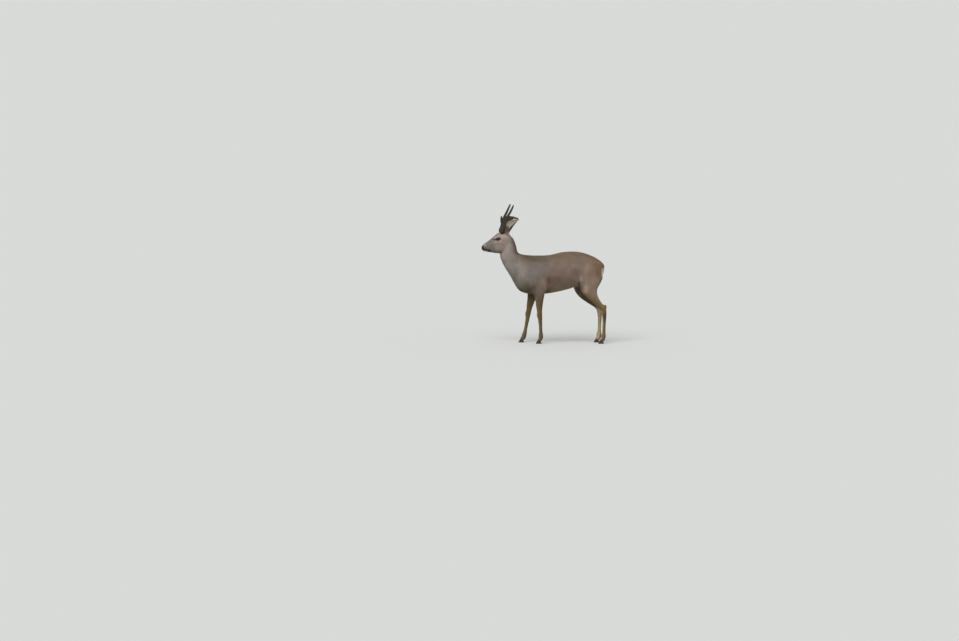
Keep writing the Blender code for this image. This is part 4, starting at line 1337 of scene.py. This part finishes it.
# %% The lie of the coat
LEG_SLOPE, BELLY_SLOPE = 84.0, 3.0  # degrees below level
FACE_LIE, JAW_LIE = np.array([0.87, 0.0, 0.48]), np.array([0.86, 0.0, -0.50])
PATCH_LIE, PATCH_PARTING = np.array([0.2, 0.0, -0.4]), np.array([0.0, 0.75, 0.0])
EAR_FAN = 0.28


def slant(degrees):
    """Directions that run back and down by so many degrees below level."""
    angle = np.radians(degrees)
    return np.stack([np.cos(angle), np.zeros(len(angle)), -np.sin(angle)], axis=1)


def body_lie(places, out):
    x, y, z = places.T
    belly = ease(-0.3, -0.8, out[:, 2]) * ease(0.34, 0.40, z)
    degrees = 11.0 + 50.0 * ease(0.04, -0.15, x) + 44.0 * ease(0.28, 0.46, x)
    degrees += 14.0 * ease(0.60, 0.46, z) * (1.0 - belly)
    degrees += (BELLY_SLOPE - degrees) * belly
    degrees += (LEG_SLOPE - degrees) * leg_part(places)
    parting = PATCH_LIE + np.tanh(y / 0.016)[:, None] * PATCH_PARTING
    parting[:, 2] -= 1.2 * ease(0.0, -0.03, z - TAIL_PLACE[2] + 0.030)
    return over(slant(degrees + 5.0 * ripple(places, 0.12, 8)), parting, 0.8 * rump_part(places))


def head_lie(h):
    face = np.tile(FACE_LIE, (len(h), 1))
    face = over(face, JAW_LIE, ease(0.0, 0.06, h[:, 0]) * ease(0.0, -0.04, h[:, 2]))
    t, u, _ = ear_place(h)
    fan = np.sign(u)[:, None] * EAR_FAN * np.array(ear_across)
    ear = (np.array(ear_along) + fan) * side_flip(h)
    ear_foot = 0.8 * ease(-0.02, 0.10, t) * ease(0.05, 0.03, np.abs(u))
    return over(face, ear, np.maximum(ear_part(h), ear_foot))


def lie_of(places, out):
    """The way the hair points at each place, along the skin."""
    flow = over(body_lie(places, out), head_lie(to_head(places)) @ TURN_ROWS, head_part(places))
    flow -= out * (flow * out).sum(axis=1, keepdims=True)
    return unit(flow)


lie_layer = skin.data.attributes.new(name="lie", type="FLOAT_VECTOR", domain="POINT")
lie_layer.data.foreach_set("vector", lie_of(points_of(skin), normals_of(skin)).ravel())
print("lie kept on", len(lie_layer.data), "points")

# %% [markdown]
# ## Hair sizes
#
# A tuft's length, width and how densely tufts stand change over the body: fine and short on the face
# and feet, long on the neck, trunk and white patch. Each size is a mix of the zones' own values.

# %% Hair sizes
# zone: length, width in mm, layers of hair that overlap at any place
HAIR = {
    "body": (25.0, 2.3, 4.1),
    "neck": (24.0, 2.2, 3.8),
    "patch": (32.0, 2.7, 4.4),
    "leg": (12.0, 1.85, 2.1),
    "foot": (8.5, 1.6, 2.1),
    "fetlock": (15.0, 1.8, 3.0),
    "cheek": (12.0, 1.7, 2.8),
    "face": (6.5, 1.2, 2.1),
    "muzzle": (4.2, 0.95, 1.7),
    "lid": (2.6, 0.75, 1.8),
    "ear": (7.5, 1.3, 2.3),
    "ear lining": (13.0, 1.15, 2.8),
}


def hair_sizes(places, out):
    """Length, width and layers at each place."""
    h = to_head(places)
    m = mirrored(h)
    z = places[:, 2]
    head = head_part(places)
    ear = head * ear_part(h)
    eye_reach = np.linalg.norm(m - EYE_MIDDLE, axis=1)
    size = np.tile(np.array(HAIR["body"]), (len(places), 1))
    steps = [
        ("neck", neck_part(places)),
        ("patch", rump_part(places)),
        ("leg", leg_part(places)),
        ("foot", ease(0.16, 0.05, z)),
        ("fetlock", ease(0.2, 0.7, out[:, 0]) * ease(0.046, 0.056, z) * ease(0.10, 0.08, z)),
        ("cheek", head),
        ("face", head * ease(0.045, 0.0, h[:, 0] - 0.35 * h[:, 2])),
        ("muzzle", head * ease(-0.06, -0.10, h[:, 0])),
        ("lid", head * ease(2.6, 1.9, lid_share(m)[0]) * ease(0.024, 0.018, eye_reach)),
        ("ear", ear),
        ("ear lining", ear * ear_inside(h, out @ TURN_ROWS.T)),
    ]
    for zone, share in steps:
        size = over(size, np.array(HAIR[zone]), share)
    return size[:, 0] * MM, size[:, 1] * MM, size[:, 2]


# %% Where no hair grows
PEDICLE_MIDDLE = np.array([0.0385, 0.0225, 0.046])
PEDICLE_SIZE = np.array([0.0155, 0.0150, 0.022])


def bare(places, out):
    """True where no hair grows: nose leather, eye openings, the lips' line and under the antlers."""
    h = to_head(places)
    m = mirrored(h)
    share, reach, _, _ = lid_share(m)
    eye = (share < 1.16) & (reach < 1.5 * EYE_RADIUS)
    lips = (np.abs(above_mouth(m)) < 0.9 * MM) & (m[:, 0] < -0.055)
    pedicle = np.linalg.norm((m - PEDICLE_MIDDLE) / PEDICLE_SIZE, axis=1) < 1
    head = head_part(places) > 0.5
    sole = (out[:, 2] < -0.6) & (places[:, 2] < 0.045)
    return sole | (head & (eye | lips | pedicle | (leather_part(h) > 0.5)))


# %% [markdown]
# ## Where tufts root
#
# Roots are dealt out over the skin's triangles by area and density. A running total with even steps
# spreads them better than pure chance does.

# %% Roots
TUFT_FILL = 0.6  # the share of its length times its width that a tuft covers
skin.data.calc_loop_triangles()
corner_rows = read(skin.data.loop_triangles, "vertices", 3, int)
skin_points, skin_normals = points_of(skin), normals_of(skin)
corners = skin_points[corner_rows]
middles = corners.mean(axis=1)
cross = np.cross(corners[:, 1] - corners[:, 0], corners[:, 2] - corners[:, 0])
areas = np.linalg.norm(cross, axis=1) / 2
hair_length, hair_width, hair_layers = hair_sizes(middles, cross)
expected = areas * hair_layers / (TUFT_FILL * hair_length * hair_width)
expected[bare(middles, unit(cross))] = 0.0
running = np.cumsum(expected)
count = int(running[-1])
marks = (np.arange(count) + draw.random(count)) * running[-1] / count
owner = np.searchsorted(running, marks).clip(0, len(running) - 1)
mix = draw.dirichlet((1.0, 1.0, 1.0), count)
roots = (corners[owner] * mix[:, :, None]).sum(axis=1)
root_normals = unit((skin_normals[corner_rows[owner]] * mix[:, :, None]).sum(axis=1))
shape = BVHTree.FromPolygons(skin_points.tolist(), corner_rows.tolist())
print("skin area", round(areas.sum(), 3), "m2,", count, "tufts")

# %% [markdown]
# ## Many locks in one mesh
#
# A coat is thousands of small locks, far too many to model or copy one by one. The places, faces and
# maps of a whole piece are worked out as arrays and handed to its mesh in a few calls. The normals are
# set too: they follow the body more than the lock, so that the coat shades softly, as hair does.

# %% Many locks in one mesh
BAKE_SIZE = 0.003  # a lock's size on the bake map


def locks(name, points, faces, spots, outline, shading, finish):
    """One piece of many equal locks. For each lock it takes the places, bake spot and shading."""
    total, each = points.shape[:2]
    sizes = np.tile([len(face) for face in faces], total)
    one = np.concatenate([np.array(face) for face in faces])
    links = (one[None] + each * np.arange(total)[:, None]).ravel()
    mesh = bpy.data.meshes.new(name)
    mesh.vertices.add(total * each)
    mesh.vertices.foreach_set("co", points.ravel())
    mesh.loops.add(len(links))
    mesh.loops.foreach_set("vertex_index", links)
    mesh.polygons.add(len(sizes))
    mesh.polygons.foreach_set("loop_start", np.concatenate([[0], np.cumsum(sizes)[:-1]]))
    mesh.update(calc_edges=True)
    bake = mesh.uv_layers.new(name="OFBake")
    bake.data.foreach_set("uv", (spots[:, None] + outline[None] * BAKE_SIZE).reshape(-1, 2)[links].ravel())
    mesh.shade_smooth()
    mesh.normals_split_custom_set_from_vertices(shading.reshape(-1, 3))
    mesh.materials.append(finish)
    piece = new_object(name, mesh)
    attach(piece, "root")
    print(name, total, "locks,", len(links) - 2 * len(sizes), "triangles")
    return piece, links


# %% [markdown]
# ## Hair finish
#
# One tuft stands for a lock of many hairs. Its own strand map runs across and along it, and noise that
# is stretched along the map draws the single hairs, each tuft from another part of the noise. The
# colour comes from the painted points, so hair and skin agree.

# %% Hair finish
HAIRS_PER_TUFT, HAIR_WAVES = 6.0, 1.1  # how often the noise changes across and along a tuft
hair_paint, tree, shader = new_finish("coat_tufts", 0.72, 0.25)
tint = add(tree, "Attribute", attribute_name="coat").outputs["Color"]
strand = add(tree, "UVMap", uv_map="strand").outputs[0]
hairs = noise(tree, vector(tree, "MULTIPLY", strand, (HAIRS_PER_TUFT, HAIR_WAVES, 0.0)), 1.0, 2.0)
paint(tree, shader, tint, remap(tree, hairs, 0.3, 0.7, 0.78, 1.22), hairs, 0.25 * MM, 0.5)
print("finish", hair_paint.name)

# %% [markdown]
# ## One tuft
#
# A tuft is a thin, three-sided lock that tapers to a point: a ring of three points at the root, one at
# its middle and the tip. It is bent over the body: its middle and tip are looked up on the skin along
# the lie of the coat, and then lifted by the coat's depth. Thousands are built at once, as arrays.

# %% Tufts
RING = np.array([[-0.5, 0.0], [0.5, 0.0], [0.0, 0.42]])  # across and out, in tuft widths
TUFT_FACES = [(0, 2, 1), (0, 1, 4, 3), (1, 2, 5, 4), (2, 0, 3, 5), (3, 4, 6), (4, 5, 6), (5, 3, 6)]
STRAND = np.array([[0.0, 0.0], [1.0, 0.0], [0.5, 0.0], [0.0, 0.5], [1.0, 0.5], [0.5, 0.5], [0.5, 1.0]])
STRAND_SHIFT = [[[40.0, 9.0]]]


def tuft_piece(name, points, shading, colour, spots):
    """One mesh of tufts from seven points each, with their colours and strand maps."""
    shift = draw.random((len(points), 1, 2)) * STRAND_SHIFT
    piece, links = locks(name, points, TUFT_FACES, spots, STRAND - 0.5, shading, hair_paint)
    strands = piece.data.uv_layers.new(name="strand")
    strands.data.foreach_set("uv", (STRAND[None] + shift).reshape(-1, 2)[links].ravel())
    keep_colour(piece, "coat", colour.reshape(-1, 3))
    return piece


def ring(centre, heading, out, size):
    """The three points round a tuft at one place along it, and the way across it."""
    side = unit(np.cross(out, heading))
    up = unit(np.cross(heading, side))
    rows = RING[:, 0][None, :, None] * side[:, None] + RING[:, 1][None, :, None] * up[:, None]
    return centre[:, None] + rows * size[:, None, None], side


def on_skin(places, normals):
    """The nearest skin place and its normal for each place, if it faces the same way."""
    found, facing = places.copy(), normals.copy()
    for i, place in enumerate(places.tolist()):
        spot, normal, _, _ = shape.find_nearest(place)
        if normal.dot(Vector(normals[i])) > 0.1:
            found[i] = spot
            facing[i] = normal
    return found, facing


# %% Growing a piece of coat


def tuft_colours(place, out):
    """Each tuft a little lighter or darker than its place, with painted shade towards its root,
    and some with a pale tip.
    """
    total = len(place)
    lightness = draw.normal(1.0, 0.08, total).clip(0.75, 1.3)
    tick = np.where(draw.random(total) < 0.3, 1.25, 1.0) + 0.05 * draw.normal(size=total)
    # painted shade: the root ring and the middle ring are a little darker than the tip
    levels = np.stack([0.93 * lightness] * 3 + [0.98 * lightness] * 3 + [lightness * tick], axis=1)
    return (coat_colour(place, out)[:, None] * levels[:, :, None]).clip(0.003, 0.95)


def grow(name, chosen, chart):
    """One coat piece with a tuft at each chosen root."""
    place, out = roots[chosen], root_normals[chosen]
    total = len(place)
    length, width, _ = hair_sizes(place, out)
    length = length * draw.normal(1.0, 0.14, total).clip(0.6, 1.4)
    width = width * draw.normal(1.0, 0.16, total).clip(0.6, 1.5)
    rise = coat_depth(place) * (1.0 - 0.68 * draw.random(total) ** 1.2)
    lie = lie_of(place, out)
    sway = np.radians(draw.normal(0.0, 9.0, total) + 10.0 * ripple(place, 0.035, 9))
    heading = lie * np.cos(sway)[:, None] + np.cross(out, lie) * np.sin(sway)[:, None]
    middle, middle_out = on_skin(place + heading * (0.5 * length)[:, None], out)
    onward = unit(lie_of(middle, middle_out) + 0.6 * heading)
    end, end_out = on_skin(middle + onward * (0.5 * length)[:, None], middle_out)

    base, side = ring(place - out * 0.5 * MM, heading, out, width * 0.8)
    waist_centre = middle + middle_out * (0.78 * rise)[:, None]
    waist, waist_side = ring(waist_centre, unit(waist_centre - place), middle_out, width)
    tip = end + end_out * (rise * draw.uniform(0.72, 1.0, total))[:, None]
    points = np.concatenate([base, waist, tip[:, None]], axis=1)

    soft_base = [out - 0.45 * side, out + 0.45 * side, out]
    soft_waist = [middle_out - 0.5 * waist_side, middle_out + 0.5 * waist_side, middle_out]
    shading = unit(np.stack([*soft_base, *soft_waist, end_out], axis=1))
    return tuft_piece(name, points, shading, tuft_colours(place, out), chart(place))


# %% [markdown]
# ## Coat pieces
#
# The coat is cut into pieces by zone, because one mesh of all of it would be too heavy to store. Each
# piece needs a map that its colours can be baked on later, so every tuft bakes at its root's place on
# a chart that unrolls its zone: trunk and neck like a tin, each leg round its own line.

# %% Charts to bake on
LEG_APART, LEG_RISE = 0.062, 0.46
SKULL_UP, SKULL_BACK = unit(np.array([-0.45, 0.0, 0.89])), unit(np.array([0.89, 0.0, 0.45]))


def inset(across, along):
    """Map places from two shares, with a narrow margin all round."""
    return np.stack([across, along], axis=1) * 0.96 + 0.02


def wrap(centre_x, centre_z, axis, span, half=False):
    """A chart that unrolls the skin round a line through the body: angle and distance along it."""
    axis = unit(np.array(axis, float))
    up = unit(np.cross(axis, np.array([0.0, 1.0, 0.0])))
    up = up * np.sign(up[2] if abs(up[2]) > 0.2 else -up[0])

    def chart(places):
        away = places - np.array([centre_x, 0.0, centre_z])
        angle = np.arctan2(away[:, 1], away @ up)
        share = np.abs(angle) / math.pi if half else angle / (2 * math.pi) + 0.5
        along = (away @ axis - span[0]) / (span[1] - span[0])
        return inset(share, along.clip(0.0, 1.0))

    return chart


def leg_line(places):
    """Where the middle of the leg is, fore and aft, at each height, for the pair in question."""
    x, y, z = places.T
    fore = np.where(y < 0, -0.034, -0.165) + np.where(y < 0, 0.0, 0.20 * z)
    hind = np.where(y < 0, 0.462, 0.430) - 0.25 * np.maximum(0.0, z - 0.27)
    return np.where(x < 0.15, fore, hind)


def leg_chart(places):
    """Two legs side by side, each unrolled round its own line."""
    column = (places[:, 1] > 0).astype(float)
    ahead = places[:, 0] - leg_line(places)
    angle = np.arctan2(ahead, np.abs(places[:, 1]) - LEG_APART) / (2 * math.pi) + 0.5
    rise = (places[:, 2] / LEG_RISE).clip(0, 1)
    return np.stack([(column + angle * 0.94 + 0.03) / 2, rise * 0.96 + 0.02], axis=1)


def ear_chart(places):
    """Front and back of both ears, in four columns."""
    h = to_head(places)
    t, u, d = ear_place(h)
    column = (h[:, 1] > 0) * 2.0 + (d > -0.3 * ear_half_width(t.clip(0.0, 1.0)))
    return np.stack([(column + 0.5 + u / 0.09) / 4, 0.02 + 0.96 * t.clip(0, 1)], axis=1)


def head_chart(places):
    """One side of the head, unrolled round the line from nose to skull."""
    h = to_head(places)
    angle = np.arctan2(np.abs(h[:, 1]), h @ SKULL_UP + 0.035) / math.pi
    return inset(angle, ((h @ SKULL_BACK + 0.16) / 0.28).clip(0, 1))


# %% Coat pieces
LEG_TOP = 0.385  # the legs' pieces end here
SHOULDER_END, FLANK_END = 0.04, 0.27
ALONG = (1.0, 0.0, 0.0)
x, y, z = roots.T
on_head = head_part(roots) > 0.5
across_head = to_head(roots)[:, 1]
on_ear = on_head & (ear_part(to_head(roots)) > 0.5)
on_neck = ~on_head & (neck_part(roots) > 0.45)
on_patch = (rump_part(roots) > 0.4) & ~on_head
others = ~on_head & ~on_neck & ~on_patch
low = others & (z < LEG_TOP)
rest = others & ~low
ZONES = [
    ("coat_head_left", on_head & ~on_ear & (across_head < 0), head_chart),
    ("coat_head_right", on_head & ~on_ear & (across_head >= 0), head_chart),
    ("coat_ears", on_ear, ear_chart),
    ("coat_neck", on_neck, wrap(-0.18, 0.62, (0.52, 0.0, -0.85), (-0.30, 0.26))),
    ("coat_white_patch", on_patch, wrap(0.40, 0.57, ALONG, (0.0, 0.12))),
    ("coat_forelegs", low & (x < 0.15), leg_chart),
    ("coat_hindlegs", low & (x >= 0.15), leg_chart),
]
for side, sign in SIDES.items():
    own = rest & (y * sign > 0)
    flank = (x >= SHOULDER_END) & (x < FLANK_END)
    ZONES += [
        (f"coat_shoulder_{side}", own & (x < SHOULDER_END), wrap(0.0, 0.56, ALONG, (-0.25, 0.06), True)),
        (f"coat_flank_{side}", own & flank, wrap(0.1, 0.56, ALONG, (-0.1, 0.2), True)),
        (f"coat_haunch_{side}", own & (x >= FLANK_END), wrap(0.3, 0.56, ALONG, (-0.05, 0.2), True)),
    ]
for name, chosen, chart in ZONES:
    if chosen.sum():
        piece = grow(name, chosen, chart)
    else:
        print(name, int(chosen.sum()), "tufts left out")


# %% [markdown]
# ## Lashes and whiskers
#
# A few long single hairs: lashes along each upper lid, which stand out and curl up, and feelers on
# the lips, the chin and over the eye. Each is a tuft as thin as a bristle, so the tool that makes the
# coat makes them too, at places chosen one by one.

# %% Single hairs
BRISTLE = 0.42 * MM
BRISTLE_UP = [0.05, 0.02, 1.0]


def bristles(name, side, starts, first, second, lengths, colour):
    """Single hairs on one side of the head that start along one heading and bend into another."""
    flip = np.array([1.0, SIDES[side], 1.0])
    total = len(starts)
    start = from_head(starts * flip)
    first, second = unit(first * flip) @ TURN_ROWS, unit(second * flip) @ TURN_ROWS
    length = lengths[:, None] * draw.normal(1.0, 0.08, (total, 1)).clip(0.8, 1.2)
    up = np.tile(BRISTLE_UP, (total, 1))
    width = np.full(total, BRISTLE)
    base, _ = ring(start - first * 0.8 * MM, first, up, width)
    middle = start + first * length / 2
    waist, _ = ring(middle, first, up, width * 0.75)
    tip = middle + second * length / 2
    points = np.concatenate([base, waist, tip[:, None]], axis=1)
    centres = np.repeat(np.stack([start, middle], axis=1), 3, axis=1)
    outward = unit(points[:, :6] - centres + up[:, None] * 1e-5)
    shading = np.concatenate([outward, up[:, None]], axis=1)
    tint = np.tile(colour, (total, 7, 1)) * draw.normal(1.0, 0.1, (total, 1, 1))
    piece = tuft_piece(name, points, shading, tint.clip(0.003, 0.9), head_chart(start))


# %% Where lashes and feelers stand
LASHES, LASH_LENGTH = 30, 9.5 * MM
# how far back and out, how far above the lips' line, and length, all in mm
LIP_FEELERS = [(-103, 18, 10, 13), (-100, 22, 6, 16), (-96, 24, 11, 18), (-93, 24, 5, 20), (-89, 26, 9, 22)]
LIP_FEELERS += [(-86, 26, 4, 20), (-82, 28, 8, 24), (-78, 28, 4, 20), (-74, 30, 8, 22), (-95, 14, -8, 12)]
LIP_FEELERS += [(-89, 16, -9, 14), (-82, 16, -9, 15)]
BROW_FEELERS = [(-6, 36, 20, 13), (1, 36, 22, 15), (8, 38, 21, 13)]  # above the eyes' middle

turn = np.radians(np.linspace(14.0, 158.0, LASHES))
lash_along = LID_HALF_LENGTH * 1.04 * np.cos(turn)
lash_up = LID_HALF_HEIGHT * 1.10 * np.sin(turn) * (1.0 - 0.25 * np.maximum(0.0, lash_along))
lash_out = np.sqrt(1.0 - lash_along**2 - lash_up**2)
lash_rows = lash_along[:, None] * LID_LONG + lash_up[:, None] * LID_UP + lash_out[:, None] * EYE_AIM
lash_rows = EYE_MIDDLE + lash_rows * (EYE_RADIUS + LID_THICKNESS)
lash_lengths = LASH_LENGTH * (0.62 + 0.38 * np.sin(turn))
splay = np.cos(turn)[:, None] * LID_LONG
feelers = np.array(LIP_FEELERS + BROW_FEELERS) * MM
feelers[: len(LIP_FEELERS), 2] += np.interp(feelers[: len(LIP_FEELERS), 0], MOUTH_X, MOUTH_Z)
print(LASHES, "lashes and", len(feelers), "feelers on each side")

# %% Lashes and whiskers
for side, sign in SIDES.items():
    jitter = draw.normal(0.0, 0.07, (LASHES, 3))
    first = EYE_AIM - 0.10 * LID_UP + 0.40 * splay + jitter
    second = 0.85 * EYE_AIM + 0.45 * LID_UP + 0.60 * splay + jitter
    bristles(f"lashes_{side}", side, lash_rows, first, second, lash_lengths, BLACK * 1.6)
    flip = [1.0, sign, 1.0]
    found = [shape.find_nearest(from_head(row[:3] * flip)) for row in feelers]
    starts = to_head(np.array([tuple(spot) for spot, _, _, _ in found])) * flip
    outs = np.array([tuple(normal) for _, normal, _, _ in found]) @ TURN_ROWS.T * flip
    first = outs + np.array([0.45, 0.0, -0.10]) + draw.normal(0.0, 0.10, outs.shape)
    second = unit(first) + np.array([0.28, 0.0, -0.16])
    bristles(f"whiskers_{side}", side, starts, first, second, feelers[:, 3], BLACK * 3.5)


# %% [markdown]
# ## Fuzz on the velvet
#
# Velvet hair is short and stands nearly upright, leaning towards the tips. Each hair lock here is a
# plain three-sided spike. The velvet is unwrapped first, and each spike bakes at its root's place.

# %% The velvet unwrapped
UNWRAP_ANGLE, ISLAND_GAP = math.radians(66.0), 0.003


def unwrapped_faces(thing):
    """Middle, normal, area and place on the unwrap for every face."""
    pick(thing)
    edit_all(bpy.ops.uv.smart_project, angle_limit=UNWRAP_ANGLE, island_margin=ISLAND_GAP)
    faces = thing.data.polygons
    spots = read(thing.data.uv_layers.active.data, "uv", 2)
    sums = np.add.reduceat(spots, read(faces, "loop_start", 1, int), axis=0)
    spots = sums / read(faces, "loop_total", 1, int)[:, None]
    return read(faces, "center", 3), read(faces, "normal", 3), read(faces, "area"), spots


# %% Velvet fuzz
FUZZ_LENGTH, FUZZ_WIDTH = 2.3 * MM, 0.55 * MM
FUZZ_PER_SIDE = 11000
SPIKE_FACES = [(0, 1, 3), (1, 2, 3), (2, 0, 3), (0, 2, 1)]
SPIKE = np.array([[-0.5, -0.5], [0.5, -0.5], [0.0, -0.2], [0.0, 0.5]])


def grow_fuzz(name, velvet):
    middles, outs, face_areas, spots = unwrapped_faces(velvet)
    chosen = draw.choice(len(middles), FUZZ_PER_SIDE, p=face_areas / face_areas.sum())
    out = outs[chosen]
    jitter = draw.normal(size=(FUZZ_PER_SIDE, 3)) * 0.5 * VELVET_GRAIN
    place = middles[chosen] + jitter - out * (jitter * out).sum(axis=1, keepdims=True)
    rise = np.array([0.0, 0.0, 1.0]) - out * out[:, 2:3]
    heading = unit(0.75 * out + 0.55 * rise + 0.22 * draw.normal(size=(FUZZ_PER_SIDE, 3)))
    side = unit(np.cross(heading, rise + 0.01))
    depth = np.cross(heading, side)
    size = FUZZ_WIDTH * draw.uniform(0.7, 1.3, (FUZZ_PER_SIDE, 1))
    foot = place - out * 0.3 * MM
    length = FUZZ_LENGTH * draw.uniform(0.6, 1.1, (FUZZ_PER_SIDE, 1))
    corners = [foot - side * size / 2, foot + side * size / 2, foot + depth * size * 0.8]
    points = np.stack([*corners, place + heading * length], axis=1)
    shading = np.repeat(out[:, None], 4, axis=1)
    piece, _ = locks(name, points, SPIKE_FACES, spots[chosen], SPIKE, shading, velvet_paint)


for side, velvet in velvets.items():
    grow_fuzz(f"antler_{side}_fuzz", velvet)
